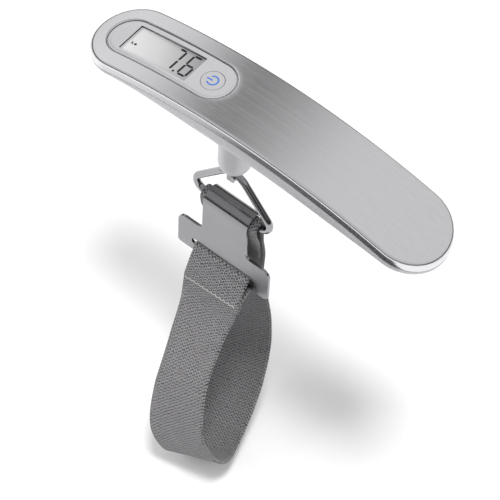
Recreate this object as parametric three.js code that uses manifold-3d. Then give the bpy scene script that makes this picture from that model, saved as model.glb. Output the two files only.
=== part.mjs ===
// A digital luggage scale: an arched grip with a steel cover, a display and a power button, and below it
// a hook that carries a wire ring, a stamped buckle plate and a loop of webbing.
// Millimetres. +X runs along the grip to the reader's right, +Y away from the reader and +Z up out of the
// display. Heights are measured down from the top of the arched steel face, and the whole model is then raised
// so that the origin lies in the middle of the grip, where a hand holds it.
import * as THREE from 'three';
import { mergeVertices } from 'three/addons/utils/BufferGeometryUtils.js';
import Module from 'manifold-3d';

const wasm = await Module();
wasm.setup();

// ---- driving dimensions ----

const FACE_ABOVE_ORIGIN = 9.4;
const HALF_LENGTH = 71.9;
const HALF_WIDTH = 14.7;
const ARCH_RADIUS = 245;
const GAP = 0.3;

const COVER_THICKNESS = 0.8;
const COVER_EDGE_RADIUS = 1.3;
const SKIRT_DEPTH = 4.0;

const CHASSIS_TOP = 1.2;
const CHASSIS_THICKNESS = 1.6;
const PLUG_DEPTH = 5.0;
const WALL = 1.6;

const RIM_DEPTH = SKIRT_DEPTH + GAP;
const BELLY_MIDDLE = 13.6;
const BELLY_ENDS = 4.5;
const BELLY_CENTRE_X = 8;
const BELLY_SPREAD = 52;
const BELLY_SQUARENESS = 2.4;

const HOOK_X = -12.7;
const BOSS_RADIUS = 6;
const BOSS_FLARE = 9.5;
const DOME_CENTRE_DEPTH = 35.5;

const WINDOW_X = -40.9;
const WINDOW_HALF_LENGTH = 25.2;
const WINDOW_RADIUS = 7.87;
const RECESS = 0.8;
const LCD_X = -45;
const LCD_Y = 0.4;
const LCD_LENGTH = 28.2;
const LCD_WIDTH = 12.1;
const BUTTON_X = -23.5;
const BUTTON_RADIUS = 4.05;

const TANGENT_X = -44;
const BOARD_X = -39;
const BOARD_LENGTH = 42;
const BOARD_WIDTH = 16;
const LCD_TOP = 2.2;
const LCD_THICKNESS = 1.8;
const STRIP_HEIGHT = 1.5;
const BOARD_TOP = 6.1;
const BOARD_THICKNESS = 1.0;

const BEAM_LENGTH = 36;
const BEAM_WIDTH = 10;
const BEAM_TOP = 10.2;
const BEAM_THICKNESS = 4;
const BEAM_SCREW_OFFSET = 14;

const CELL_X = 38;
const CELL_RADIUS = 10;
const CELL_THICKNESS = 3.2;
const CELL_TOP = 9.6;
const DOOR_HALF_LENGTH = 15;
const DOOR_HALF_WIDTH = 9.6;

const WIRE_RADIUS = 1.4;
const APEX_DEPTH = 44;
const BAR_DEPTH = 65.3;
const RING_HALF_WIDTH = 16.2;
const RING_CORNER = 4.2;
const RING_APEX_RADIUS = 6.5;

const WEB_WIDTH = 25;
const WEB_THICKNESS = 1.3;
const PLATE_THICKNESS = 1.1;
const WRAP_INNER = WIRE_RADIUS + GAP;
const ROLL_INNER = WRAP_INNER + WEB_THICKNESS + GAP;
const ROLL_OUTER = ROLL_INNER + PLATE_THICKNESS;
const TONGUE_HALF_WIDTH = 9.8;
const WING_HALF_WIDTH = 20.6;
const SHOULDER_DEPTH = 81.6;
const SLOT_TOP = 91.5;
const SLOT_HEIGHT = 3;
const SLOT_HALF_WIDTH = 14.2;
const PLATE_BOTTOM = 98.5;
const FOLD_END = 100;
const FOLD_END_Y = -8.2;

// ---- materials ----

const metal = (color, roughness) => new THREE.MeshStandardMaterial({ color, roughness, metalness: 1 });
const plastic = (color, roughness) => new THREE.MeshStandardMaterial({ color, roughness, metalness: 0 });
const brushedSteel = metal(0xb9b9bb, 0.35);
const chrome = metal(0xd2d2d4, 0.12);
const stampedSteel = metal(0xa0a0a2, 0.4);
const aluminium = metal(0xc4c6c8, 0.45);
const silverPlastic = plastic(0xc0bfc2, 0.45);
const darkPlastic = plastic(0x3a3b3d, 0.6);
const liquidCrystal = plastic(0xb8b9b9, 0.2);
const boardGreen = plastic(0x1d5a38, 0.6);
const black = plastic(0x1a1a1b, 0.7);
const red = plastic(0xa02420, 0.5);
const goldFilm = plastic(0xb98b3a, 0.5);
const webbing = plastic(0x8a8888, 0.95);

// ---- geometry helpers ----

const solidFrom = (geometry) => {
  const bare = geometry.clone();
  bare.deleteAttribute('normal');
  bare.deleteAttribute('uv');
  const merged = mergeVertices(bare, 1e-4);
  const triVerts = withoutSlivers(merged.index.array);
  const vertProperties = merged.attributes.position.array;
  return new wasm.Manifold(new wasm.Mesh({ numProp: 3, vertProperties, triVerts }));
};

// A ring of points that has shrunk to a line leaves triangles with two equal corners.
const withoutSlivers = (index) => {
  const kept = [];
  for (let i = 0; i < index.length; i += 3) {
    const [a, b, c] = [index[i], index[i + 1], index[i + 2]];
    if (a !== b && b !== c && c !== a) kept.push(a, b, c);
  }
  return new Uint32Array(kept);
};

const geometryFrom = (solid) => {
  const mesh = solid.getMesh();
  const geometry = new THREE.BufferGeometry();
  geometry.setAttribute('position', new THREE.BufferAttribute(mesh.vertProperties, 3));
  geometry.setIndex(new THREE.BufferAttribute(mesh.triVerts, 1));
  geometry.computeVertexNormals();
  return geometry;
};

const union = (first, ...others) =>
  geometryFrom(others.reduce((sum, other) => sum.add(solidFrom(other)), solidFrom(first)));

const cut = (first, ...tools) =>
  geometryFrom(tools.reduce((rest, tool) => rest.subtract(solidFrom(tool)), solidFrom(first)));

const common = (first, second) => geometryFrom(solidFrom(first).intersect(solidFrom(second)));

const add = (parent, name, geometry, material) => {
  const mesh = new THREE.Mesh(geometry, material);
  mesh.name = name;
  parent.add(mesh);
  return mesh;
};

// How far the arched face lies below its top at x.
const drop = (x) => ARCH_RADIUS - Math.sqrt(ARCH_RADIUS ** 2 - x ** 2);

// The lowest line of the belly at x: it hangs deep under the middle and shallow under both ends.
const bellyDepth = (x) => {
  const share = Math.exp(-(((x - BELLY_CENTRE_X) / BELLY_SPREAD) ** 4));
  return RIM_DEPTH + drop(x) + BELLY_ENDS + (BELLY_MIDDLE - BELLY_ENDS) * share;
};

// A closed outline with round ends, as [x, y] pairs; inset moves it inwards, down to its middle line.
const ARC_STEPS = 10;
const STRAIGHT_STEPS = 10;
const roundEnded = (halfLength, halfWidth, inset) => {
  const radius = Math.max(halfWidth - inset, 0);
  const straight = halfLength - halfWidth;
  const points = [];
  for (const side of [1, -1]) {
    for (let i = 0; i < ARC_STEPS; i++) {
      const angle = side * (-Math.PI / 2) + (i / ARC_STEPS) * Math.PI;
      points.push([side * straight + radius * Math.cos(angle), radius * Math.sin(angle)]);
    }
    for (let i = 0; i < STRAIGHT_STEPS; i++) {
      points.push([side * straight * (1 - (2 * i) / STRAIGHT_STEPS), side * radius]);
    }
  }
  return points;
};

// Skins a closed body over a stack of round-ended outlines. Each layer gives its inset and its depth at x;
// the first and last layers have shrunk to the middle line, so the body closes without caps.
const layered = (centreX, halfLength, halfWidth, layers) => {
  const rings = layers.map(({ inset, depth }) =>
    roundEnded(halfLength, halfWidth, inset).map(([x, y]) => [centreX + x, y, -depth(centreX + x)]));
  const count = rings[0].length;
  const index = [];
  for (let ring = 0; ring < rings.length - 1; ring++) {
    for (let i = 0; i < count; i++) {
      const next = (i + 1) % count;
      const [a, b] = [ring * count + i, ring * count + next];
      const [c, d] = [a + count, b + count];
      index.push(a, c, b, b, c, d);
    }
  }
  const geometry = new THREE.BufferGeometry();
  geometry.setAttribute('position', new THREE.Float32BufferAttribute(rings.flat(2), 3));
  geometry.setIndex(index);
  return geometryFrom(solidFrom(geometry));
};

// A layer that follows the arch at a fixed depth below the face.
const below = (inset, depth) => ({ inset, depth: (x) => depth + drop(x) });

const upright = (shape, bottomDepth, topDepth) => {
  const geometry = new THREE.ExtrudeGeometry(shape, {
    depth: bottomDepth - topDepth,
    bevelEnabled: false,
    curveSegments: 8,
  });
  return geometry.translate(0, 0, -bottomDepth);
};

const roundEndedShape = (centreX, halfLength, radius) => {
  const straight = halfLength - radius;
  const shape = new THREE.Shape();
  shape.absarc(centreX + straight, 0, radius, -Math.PI / 2, Math.PI / 2);
  shape.absarc(centreX - straight, 0, radius, Math.PI / 2, (3 * Math.PI) / 2);
  return shape;
};

const roundedRectangle = (centreX, halfLength, halfWidth, radius) => {
  const shape = new THREE.Shape();
  const [x, y] = [halfLength - radius, halfWidth - radius];
  shape.absarc(centreX + x, y, radius, 0, Math.PI / 2);
  shape.absarc(centreX - x, y, radius, Math.PI / 2, Math.PI);
  shape.absarc(centreX - x, -y, radius, Math.PI, 1.5 * Math.PI);
  shape.absarc(centreX + x, -y, radius, 1.5 * Math.PI, 2 * Math.PI);
  return shape;
};

const post = (x, y, radius, topDepth, bottomDepth, sides = 20) =>
  new THREE.CylinderGeometry(radius, radius, bottomDepth - topDepth, sides)
    .rotateX(Math.PI / 2)
    .translate(x, y, -(topDepth + bottomDepth) / 2);

const block = (x, y, topDepth, length, width, height) =>
  new THREE.BoxGeometry(length, width, height).translate(x, y, -topDepth - height / 2);

const tube = (points, radius, steps) => {
  const path = new THREE.CatmullRomCurve3(points.map(([x, y, depth]) => new THREE.Vector3(x, y, -depth)));
  const section = new THREE.Shape().absarc(0, 0, radius, 0, 2 * Math.PI);
  return new THREE.ExtrudeGeometry(section, {
    steps,
    extrudePath: path,
    bevelEnabled: false,
    curveSegments: 4,
  });
};

// ---- grip ----

// Half of the belly's cross-section as insets and shares of the depth, from the rim to the lowest line.
const BELLY_STEPS = 7;
const bellyLayers = (thickness) => {
  const layers = [];
  for (let i = 0; i <= BELLY_STEPS; i++) {
    const angle = (i / BELLY_STEPS) * (Math.PI / 2);
    const reach = Math.cos(angle) ** (2 / BELLY_SQUARENESS);
    const share = Math.sin(angle) ** (2 / BELLY_SQUARENESS);
    const width = HALF_WIDTH - GAP / 2 - thickness;
    const inset = i === BELLY_STEPS ? HALF_WIDTH : HALF_WIDTH - width * reach;
    const depth = (x) => {
      const rim = RIM_DEPTH + drop(x);
      return rim + (bellyDepth(x) - thickness - rim) * share;
    };
    layers.push({ inset, depth });
  }
  return layers;
};

const housingShell = () =>
  layered(0, HALF_LENGTH, HALF_WIDTH, [...bellyLayers(WALL).reverse(), ...bellyLayers(0)]);

// The depth of the belly's outer surface at a point inside its outline.
const bellySurface = (x, y) => {
  const rim = RIM_DEPTH + drop(x);
  const along = Math.max(Math.abs(x) - (HALF_LENGTH - HALF_WIDTH), 0);
  const reach = Math.hypot(along, y) / (HALF_WIDTH - GAP / 2);
  return rim + (bellyDepth(x) - rim) * (1 - reach ** BELLY_SQUARENESS) ** (1 / BELLY_SQUARENESS);
};

const steelCover = () => {
  const layers = [below(HALF_WIDTH, 0), below(9, 0), below(4, 0)];
  const EDGE_STEPS = 3;
  for (let i = 0; i <= EDGE_STEPS; i++) {
    const angle = (i / EDGE_STEPS) * (Math.PI / 2);
    const inset = COVER_EDGE_RADIUS * (1 - Math.sin(angle));
    layers.push(below(inset, COVER_EDGE_RADIUS * (1 - Math.cos(angle))));
  }
  layers.push(below(0, SKIRT_DEPTH));
  layers.push(below(COVER_THICKNESS, SKIRT_DEPTH));
  layers.push(below(COVER_THICKNESS, COVER_EDGE_RADIUS));
  layers.push(below(COVER_EDGE_RADIUS, COVER_THICKNESS));
  layers.push(below(4, COVER_THICKNESS));
  layers.push(below(9, COVER_THICKNESS));
  layers.push(below(HALF_WIDTH, COVER_THICKNESS));
  const window = roundEndedShape(WINDOW_X, WINDOW_HALF_LENGTH + GAP, WINDOW_RADIUS + GAP);
  return cut(layered(0, HALF_LENGTH, HALF_WIDTH, layers), upright(window, 15, -5));
};

const SCREWS = [[12, -6.5], [12, 6.5], [61, -5], [61, 5]];
const SCREW_HEAD_RADIUS = 2.1;
const SCREW_HEAD_HEIGHT = 1.4;
const SCREW_SHANK_RADIUS = 1.0;
const SCREW_LENGTH = 7;
const POST_RADIUS = 2.2;

const chassis = () => {
  const bottom = CHASSIS_TOP + CHASSIS_THICKNESS;
  const edge = COVER_THICKNESS + GAP;
  const plug = WALL + 2 * GAP;
  const plate = layered(0, HALF_LENGTH, HALF_WIDTH, [
    below(HALF_WIDTH, CHASSIS_TOP), below(8, CHASSIS_TOP), below(edge, CHASSIS_TOP), below(edge, bottom),
    below(plug, bottom), below(plug, PLUG_DEPTH), below(plug + 1.2, PLUG_DEPTH), below(plug + 1.2, bottom),
    below(8, bottom), below(HALF_WIDTH, bottom),
  ]);
  const posts = SCREWS.map(([x, y]) => {
    const foot = screwHeadTop(x, y) - 2 * GAP;
    return post(x, y, POST_RADIUS, bottom + drop(x) - 1, foot);
  });
  const holes = SCREWS.map(([x, y]) => {
    const foot = screwHeadTop(x, y);
    return post(x, y, SCREW_SHANK_RADIUS + GAP, foot - SCREW_LENGTH - GAP, foot + 1);
  });
  const window = roundEndedShape(WINDOW_X, WINDOW_HALF_LENGTH + 2, WINDOW_RADIUS + 2);
  return cut(union(plate, ...posts), upright(window, 30, -5), ...holes);
};

const screwHeadTop = (x, y) => bellySurface(x, y) - SCREW_HEAD_HEIGHT - 0.5;

const housingScrew = ([x, y]) => {
  const top = screwHeadTop(x, y);
  const head = post(x, y, SCREW_HEAD_RADIUS, top, top + SCREW_HEAD_HEIGHT);
  const shank = post(x, y, SCREW_SHANK_RADIUS, top - SCREW_LENGTH, top + 0.5);
  const slots = [[2.6, 0.6], [0.6, 2.6]].map(([a, b]) => block(x, y, top + SCREW_HEAD_HEIGHT - 0.7, a, b, 2));
  return cut(union(head, shank), ...slots);
};

// The boss under the grip: a flare out of the belly, a short neck and a domed end.
const boss = () => {
  const profile = [];
  const DOME_STEPS = 5;
  for (let i = 0; i <= DOME_STEPS; i++) {
    const angle = (i / DOME_STEPS) * (Math.PI / 2);
    const depth = DOME_CENTRE_DEPTH + BOSS_RADIUS * Math.cos(angle);
    profile.push(new THREE.Vector2(BOSS_RADIUS * Math.sin(angle), -depth));
  }
  const FLARE_STEPS = 4;
  const flareHeight = 9;
  const flareStart = bellyDepth(HOOK_X) + flareHeight - 2;
  for (let i = 0; i <= FLARE_STEPS; i++) {
    const angle = (i / FLARE_STEPS) * (Math.PI / 2);
    const radius = BOSS_RADIUS + (BOSS_FLARE - BOSS_RADIUS) * (1 - Math.cos(angle));
    profile.push(new THREE.Vector2(radius, -flareStart + flareHeight * Math.sin(angle)));
  }
  profile.push(new THREE.Vector2(0, -flareStart + flareHeight));
  return new THREE.LatheGeometry(profile, 24).rotateX(Math.PI / 2).translate(HOOK_X, 0, 0);
};

const HOOK_THICKNESS = 2;
const HOOK_HALF_DEPTH = 3;
const EYE_RADIUS = WIRE_RADIUS + 0.45;

const lowerHousing = () => {
  const beamFeet = [-1, 1].map((side) => {
    const x = HOOK_X + side * BEAM_SCREW_OFFSET;
    return post(x, 0, 3, BEAM_TOP + BEAM_THICKNESS + GAP, bellyDepth(x) - 0.5);
  });
  const footHoles = [-1, 1].map((side) =>
    post(HOOK_X + side * BEAM_SCREW_OFFSET, 0, SCREW_SHANK_RADIUS + GAP, 12, 16.4));
  const shank = block(HOOK_X, 0, 10, HOOK_THICKNESS + 2 * GAP, 2 * (HOOK_HALF_DEPTH + GAP), 40);
  const wells = SCREWS.map(([x, y]) => post(x, y, SCREW_HEAD_RADIUS + GAP, screwHeadTop(x, y) - 3, 30));
  const door = roundedRectangle(CELL_X, DOOR_HALF_LENGTH + GAP, DOOR_HALF_WIDTH + GAP, 3);
  const walls = union(housingShell(), boss(), ...beamFeet);
  return cut(walls, shank, ...footHoles, ...wells, upright(door, 30, 12));
};

const batteryDoor = () => {
  const outline = roundedRectangle(CELL_X, DOOR_HALF_LENGTH, DOOR_HALF_WIDTH, 3);
  const panel = common(housingShell(), upright(outline, 30, 12));
  const grips = [-1, 0, 1].map((step) => {
    const x = CELL_X + 8 + step * 2;
    return block(x, 0, bellyDepth(x) - 0.4, 0.8, 8, 2);
  });
  return cut(panel, ...grips);
};

const bezel = () => {
  const floor = RECESS + 0.8;
  const flange = -1.6;
  const tray = layered(WINDOW_X, WINDOW_HALF_LENGTH, WINDOW_RADIUS, [
    below(WINDOW_RADIUS, RECESS), below(4, RECESS), below(1.1, RECESS), below(0.5, 0.3), below(0, 0.3),
    below(0, 1.05), below(flange, 1.05), below(flange, floor), below(4, floor), below(WINDOW_RADIUS, floor),
  ]);
  const outline = roundedRectangle(LCD_X, LCD_LENGTH / 2, LCD_WIDTH / 2, 0.3);
  const display = upright(outline, 15, -2).translate(0, LCD_Y, 0);
  return cut(tray, display, post(BUTTON_X, 0, BUTTON_RADIUS + GAP, -2, 15, 32));
};

// ---- electronics ----

// The display, its contact strips and the board are flat, and lie along the arch's tangent under the display.
const tangentFrame = () => {
  const frame = new THREE.Group();
  frame.position.set(TANGENT_X, 0, -drop(TANGENT_X));
  frame.rotation.y = Math.asin(TANGENT_X / ARCH_RADIUS);
  return frame;
};

const addElectronics = (parent) => {
  const flat = tangentFrame();
  parent.add(flat);
  const lcdShift = LCD_X - TANGENT_X;
  const boardShift = BOARD_X - TANGENT_X;
  const panel = block(lcdShift, LCD_Y, LCD_TOP, LCD_LENGTH + 2.6, LCD_WIDTH + 2.6, LCD_THICKNESS);
  add(flat, 'lcd_panel', panel, liquidCrystal);
  const stripTop = LCD_TOP + LCD_THICKNESS + 0.1;
  for (const [name, side] of [['contact_strip_far', 1], ['contact_strip_near', -1]]) {
    add(flat, name, block(lcdShift, LCD_Y + side * 6, stripTop, LCD_LENGTH, 1.6, STRIP_HEIGHT), black);
  }
  const board = block(boardShift, 0, BOARD_TOP, BOARD_LENGTH, BOARD_WIDTH, BOARD_THICKNESS);
  add(flat, 'circuit_board', board, boardGreen);
  const underside = BOARD_TOP + BOARD_THICKNESS + 0.05;
  const dome = new THREE.LatheGeometry(
    [[0, -1.1], [1.9, -0.95], [3.2, -0.5], [3.8, 0], [0, 0]].map(([r, z]) => new THREE.Vector2(r, z)), 16);
  add(flat, 'chip_cover', dome.rotateX(Math.PI / 2).translate(-10, 0, -underside), black);
  const switchX = BUTTON_X - TANGENT_X;
  const body = block(switchX, 0, BOARD_TOP - 1.55, 4.5, 4.5, 1.5);
  add(flat, 'button_switch', union(body, post(switchX, 0, 1, BOARD_TOP - 2.1, BOARD_TOP - 1, 12)), black);
};

const loadCellBeam = () => {
  const beam = block(HOOK_X, 0, BEAM_TOP, BEAM_LENGTH, BEAM_WIDTH, BEAM_THICKNESS);
  const middle = BEAM_TOP + BEAM_THICKNESS / 2;
  const bores = [-1, 1].map((side) =>
    new THREE.CylinderGeometry(1.3, 1.3, 20, 16).translate(HOOK_X + side * 7, 0, -middle));
  const hookHole = block(HOOK_X, 0, 5, HOOK_THICKNESS + 2 * GAP, 2 * (HOOK_HALF_DEPTH + GAP), 20);
  const screwHoles = [-1, 1].map((side) =>
    post(HOOK_X + side * BEAM_SCREW_OFFSET, 0, SCREW_SHANK_RADIUS + GAP, 5, 20, 16));
  return cut(beam, ...bores, hookHole, ...screwHoles);
};

const beamScrew = (side) => {
  const x = HOOK_X + side * BEAM_SCREW_OFFSET;
  const head = post(x, 0, 1.9, BEAM_TOP - 1.4, BEAM_TOP - 0.1, 16);
  return union(head, post(x, 0, SCREW_SHANK_RADIUS, BEAM_TOP - 1, 16, 16));
};

// A stamped plate that hangs in the beam and ends in an eye for the ring's wire.
const loadHook = () => {
  const top = BEAM_TOP - 4.2;
  const outline = new THREE.Shape();
  outline.moveTo(HOOK_HALF_DEPTH, -top);
  outline.lineTo(-HOOK_HALF_DEPTH, -top);
  outline.lineTo(-HOOK_HALF_DEPTH, -APEX_DEPTH - 1);
  outline.lineTo(-1.7, -APEX_DEPTH - 3.2);
  outline.lineTo(1.7, -APEX_DEPTH - 3.2);
  outline.lineTo(HOOK_HALF_DEPTH, -APEX_DEPTH - 1);
  outline.holes.push(new THREE.Path().absarc(0, -APEX_DEPTH, EYE_RADIUS, 0, 2 * Math.PI));
  outline.holes.push(new THREE.Path().absarc(0, -BEAM_TOP + 1.4, 1.2, 0, 2 * Math.PI));
  const plate = new THREE.ExtrudeGeometry(outline, {
    depth: HOOK_THICKNESS,
    bevelEnabled: false,
    curveSegments: 12,
  });
  return plate.rotateX(Math.PI / 2).rotateZ(Math.PI / 2).translate(HOOK_X - HOOK_THICKNESS / 2, 0, 0);
};

const addLoadCell = (parent) => {
  add(parent, 'load_cell_beam', loadCellBeam(), aluminium);
  add(parent, 'load_cell_screw_left', beamScrew(-1), stampedSteel);
  add(parent, 'load_cell_screw_right', beamScrew(1), stampedSteel);
  add(parent, 'load_hook', loadHook(), stampedSteel);
  const pin = new THREE.CylinderGeometry(0.9, 0.9, 8, 16).rotateZ(Math.PI / 2);
  add(parent, 'hook_pin', pin.translate(HOOK_X, 0, -BEAM_TOP + 1.4), chrome);
  const gaugeTop = block(HOOK_X + 7, 0, BEAM_TOP - 0.35, 5, 4, 0.3);
  add(parent, 'strain_gauge_top', gaugeTop, goldFilm);
  const gaugeBottom = block(HOOK_X - 7, 0, BEAM_TOP + BEAM_THICKNESS + 0.05, 5, 4, 0.3);
  add(parent, 'strain_gauge_bottom', gaugeBottom, goldFilm);
  const leadPoints = [[HOOK_X + 6, 3.5, 9.5], [HOOK_X + 2, 7, 8.2], [-14, 7.5, 7.4], [-17.2, 6, 7.0]];
  add(parent, 'sensor_lead', tube(leadPoints, 0.4, 10), red);
};

const addBattery = (parent) => {
  const bottom = CELL_TOP + CELL_THICKNESS;
  const cell = new THREE.LatheGeometry([
    [0, -bottom], [9.6, -bottom], [CELL_RADIUS, -bottom + 0.4], [CELL_RADIUS, -CELL_TOP - 0.5],
    [9.1, -CELL_TOP - 0.5], [8.8, -CELL_TOP], [0, -CELL_TOP],
  ].map(([r, z]) => new THREE.Vector2(r, z)), 32);
  add(parent, 'coin_cell', cell.rotateX(Math.PI / 2).translate(CELL_X, 0, 0), chrome);
  const holder = new THREE.LatheGeometry([
    [10.3, -bottom + 0.6], [11.4, -bottom + 0.6], [11.4, -8.2], [0, -8.2], [0, -9.0], [10.3, -9.0],
    [10.3, -bottom + 0.6],
  ].map(([r, z]) => new THREE.Vector2(r, z)), 32);
  const cup = cut(holder.rotateX(Math.PI / 2).translate(CELL_X, 0, 0), block(CELL_X - 11, 0, 5, 4, 6, 10));
  add(parent, 'cell_holder', cup, darkPlastic);
  const spring = block(CELL_X - 2, 0, CELL_TOP - 0.45, 12, 3, 0.3);
  add(parent, 'cell_contact_negative', spring, chrome);
  const clip = block(CELL_X - CELL_RADIUS - 0.6, 0, CELL_TOP + 0.2, 0.4, 5, 2.4);
  add(parent, 'cell_contact_positive', clip, chrome);
  for (const [name, side, material] of [['battery_lead_red', -1, red], ['battery_lead_black', 1, black]]) {
    const lead = tube([
      [CELL_X - 11.6, side * 4.5, 9.5], [20, side * 9.5, 8.6], [0, side * 9, 8.4], [-17, side * 3, 7.0],
    ], 0.5, 14);
    add(parent, name, lead, material);
  }
};

// The button's cap has a collar under the bezel, and it is pressed along the face's normal.
const powerButton = () => {
  const cap = new THREE.LatheGeometry([
    [0, -2.25], [2, -2.25], [2.2, -2.45], [BUTTON_RADIUS + 0.9, -2.45],
    [BUTTON_RADIUS + 0.9, -2.15], [BUTTON_RADIUS, -2.15],
    [BUTTON_RADIUS, -0.95], [BUTTON_RADIUS - 0.3, -0.7], [0, -0.6],
  ].map(([r, z]) => new THREE.Vector2(r, z)), 32);
  return cap.rotateX(Math.PI / 2);
};

// ---- ring, buckle and strap ----

const ringPoint = (x, depth) => new THREE.Vector3(HOOK_X + x, 0, -depth);

const wireRing = () => {
  const cornerX = RING_HALF_WIDTH - RING_CORNER;
  const cornerDepth = BAR_DEPTH - RING_CORNER;
  // The straight arms are tangent to the arc at the top and to the arcs at both corners.
  const fall = cornerDepth - APEX_DEPTH - RING_APEX_RADIUS;
  const tangency = Math.acos((RING_APEX_RADIUS - RING_CORNER) / Math.hypot(cornerX, fall));
  const arm = tangency - Math.atan2(fall, cornerX);
  const down = -Math.PI / 2;
  const centres = [
    { x: 0, depth: APEX_DEPTH + RING_APEX_RADIUS, radius: RING_APEX_RADIUS, from: Math.PI - arm, to: arm },
    { x: cornerX, depth: cornerDepth, radius: RING_CORNER, from: arm, to: down },
    { x: -cornerX, depth: cornerDepth, radius: RING_CORNER, from: down, to: -Math.PI - arm },
  ];
  const path = new THREE.CurvePath();
  const points = [];
  const ARC_POINTS = 6;
  for (const { x, depth, radius, from, to } of centres) {
    for (let i = 0; i <= ARC_POINTS; i++) {
      const angle = from + (to - from) * (i / ARC_POINTS);
      points.push(ringPoint(x + radius * Math.cos(angle), depth - radius * Math.sin(angle)));
    }
  }
  points.forEach((point, i) => path.add(new THREE.LineCurve3(point, points[(i + 1) % points.length])));
  return geometryFrom(solidFrom(new THREE.TubeGeometry(path, 72, WIRE_RADIUS, 10, true)));
};

// The plate's flat: a tongue that widens into two wings, with the slot for the webbing.
const plateOutline = () => {
  const shape = new THREE.Shape();
  const [inner, outer, foot] = [2, 3.5, 1.5];
  const [t, w, b] = [TONGUE_HALF_WIDTH, WING_HALF_WIDTH, -PLATE_BOTTOM];
  shape.moveTo(t, -BAR_DEPTH);
  shape.lineTo(-t, -BAR_DEPTH);
  shape.absarc(-t - inner, -SHOULDER_DEPTH + inner, inner, 0, -Math.PI / 2, true);
  shape.absarc(-w + outer, -SHOULDER_DEPTH - outer, outer, Math.PI / 2, Math.PI);
  shape.absarc(-w + foot, b + foot, foot, Math.PI, 1.5 * Math.PI);
  shape.absarc(w - foot, b + foot, foot, 1.5 * Math.PI, 2 * Math.PI);
  shape.absarc(w - outer, -SHOULDER_DEPTH - outer, outer, 0, Math.PI / 2);
  shape.absarc(t + inner, -SHOULDER_DEPTH + inner, inner, 1.5 * Math.PI, Math.PI, true);
  return shape;
};

const buckleSlot = () => {
  const hole = roundedRectangle(0, SLOT_HALF_WIDTH, SLOT_HEIGHT / 2, 1);
  return new THREE.ExtrudeGeometry(hole, { depth: 20, bevelEnabled: false, curveSegments: 4 })
    .rotateX(Math.PI / 2)
    .translate(HOOK_X, 5, -SLOT_TOP - SLOT_HEIGHT / 2);
};

// The hooked top of the plate, which goes over the ring's bar and the webbing on it, from front to back.
const ROLL_END = (15 / 180) * Math.PI;
const buckleRoll = () => {
  const section = new THREE.Shape();
  section.absarc(0, 0, ROLL_OUTER, Math.PI, ROLL_END, true);
  section.absarc(0, 0, ROLL_INNER, ROLL_END, Math.PI, false);
  section.lineTo(-ROLL_INNER, -1);
  section.lineTo(-ROLL_OUTER, -1);
  const roll = new THREE.ExtrudeGeometry(section, {
    depth: 2 * TONGUE_HALF_WIDTH,
    bevelEnabled: false,
    curveSegments: 16,
  });
  // The section's x becomes y, its y becomes z and the extrusion runs along x.
  return roll.rotateX(Math.PI / 2).rotateZ(Math.PI / 2).translate(HOOK_X - TONGUE_HALF_WIDTH, 0, -BAR_DEPTH);
};

const bucklePlate = () => {
  const flat = new THREE.ExtrudeGeometry(plateOutline(), {
    depth: PLATE_THICKNESS,
    bevelEnabled: false,
    curveSegments: 5,
  });
  flat.rotateX(Math.PI / 2).translate(HOOK_X, -ROLL_INNER, 0);
  return cut(union(flat, buckleRoll()), buckleSlot());
};

const turnAt = (turns, share) => {
  const next = Math.max(turns.findIndex(([end]) => end >= share), 1);
  const [start, backA, upA] = turns[next - 1];
  const [end, backB, upB] = turns[next];
  const part = (share - start) / (end - start);
  return [backA + (backB - backA) * part, upA + (upB - upA) * part];
};

// A band of webbing along points of its middle line, given as [x, y, depth], with so many steps from one
// point to the next. turns tells how far its width has turned out of +X at each share of the length.
const band = (points, stepsBetween, turns) => {
  const corners = points.map(([x, y, depth]) => new THREE.Vector3(HOOK_X + x, y, -depth));
  const path = new THREE.CatmullRomCurve3(corners);
  const steps = (points.length - 1) * stepsBetween;
  const lengths = path.getLengths(steps);
  const positions = [];
  for (let i = 0; i <= steps; i++) {
    const middle = path.getPoint(i / steps);
    const along = path.getTangent(i / steps);
    const [back, up] = turnAt(turns, lengths[i] / lengths[steps]);
    const across = new THREE.Vector3(1, back, up);
    across.addScaledVector(along, -across.dot(along)).normalize();
    const out = new THREE.Vector3().crossVectors(across, along);
    for (const [a, b] of [[-1, -1], [1, -1], [1, 1], [-1, 1]]) {
      const corner = middle.clone().addScaledVector(across, (a * WEB_WIDTH) / 2);
      corner.addScaledVector(out, (b * WEB_THICKNESS) / 2);
      positions.push(corner.x, corner.y, corner.z);
    }
  }
  const index = [0, 1, 2, 0, 2, 3];
  const last = steps * 4;
  index.push(last, last + 2, last + 1, last, last + 3, last + 2);
  for (let i = 0; i < steps; i++) {
    for (let k = 0; k < 4; k++) {
      const [a, b] = [i * 4 + k, i * 4 + ((k + 1) % 4)];
      index.push(a, a + 4, b, b, a + 4, b + 4);
    }
  }
  const geometry = new THREE.BufferGeometry();
  geometry.setAttribute('position', new THREE.Float32BufferAttribute(positions, 3));
  geometry.setIndex(index);
  return geometryFrom(solidFrom(geometry));
};

const WEB_MIDDLE = WRAP_INNER + WEB_THICKNESS / 2;
const FRONT_Y = -(ROLL_OUTER + GAP + WEB_THICKNESS / 2);
const BACK_Y = -(ROLL_INNER - GAP - WEB_THICKNESS / 2);

// How far the webbing's width has turned out of +X, as [share of the length, back, up].
const LOOP_TURNS = [
  [0, 0, 0], [0.07, 0.03, 0.48], [0.14, 0.11, 0.64], [0.23, 0.18, 0.71], [0.32, 0.15, 0.49],
  [0.44, 0.16, 0.41], [0.55, 0.2, 0.37], [0.66, 0.22, 0.3], [0.77, 0.15, 0.18], [0.88, 0, 0], [1, 0, 0],
];
const UNTURNED = [[0, 0, 0], [1, 0, 0]];

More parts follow.
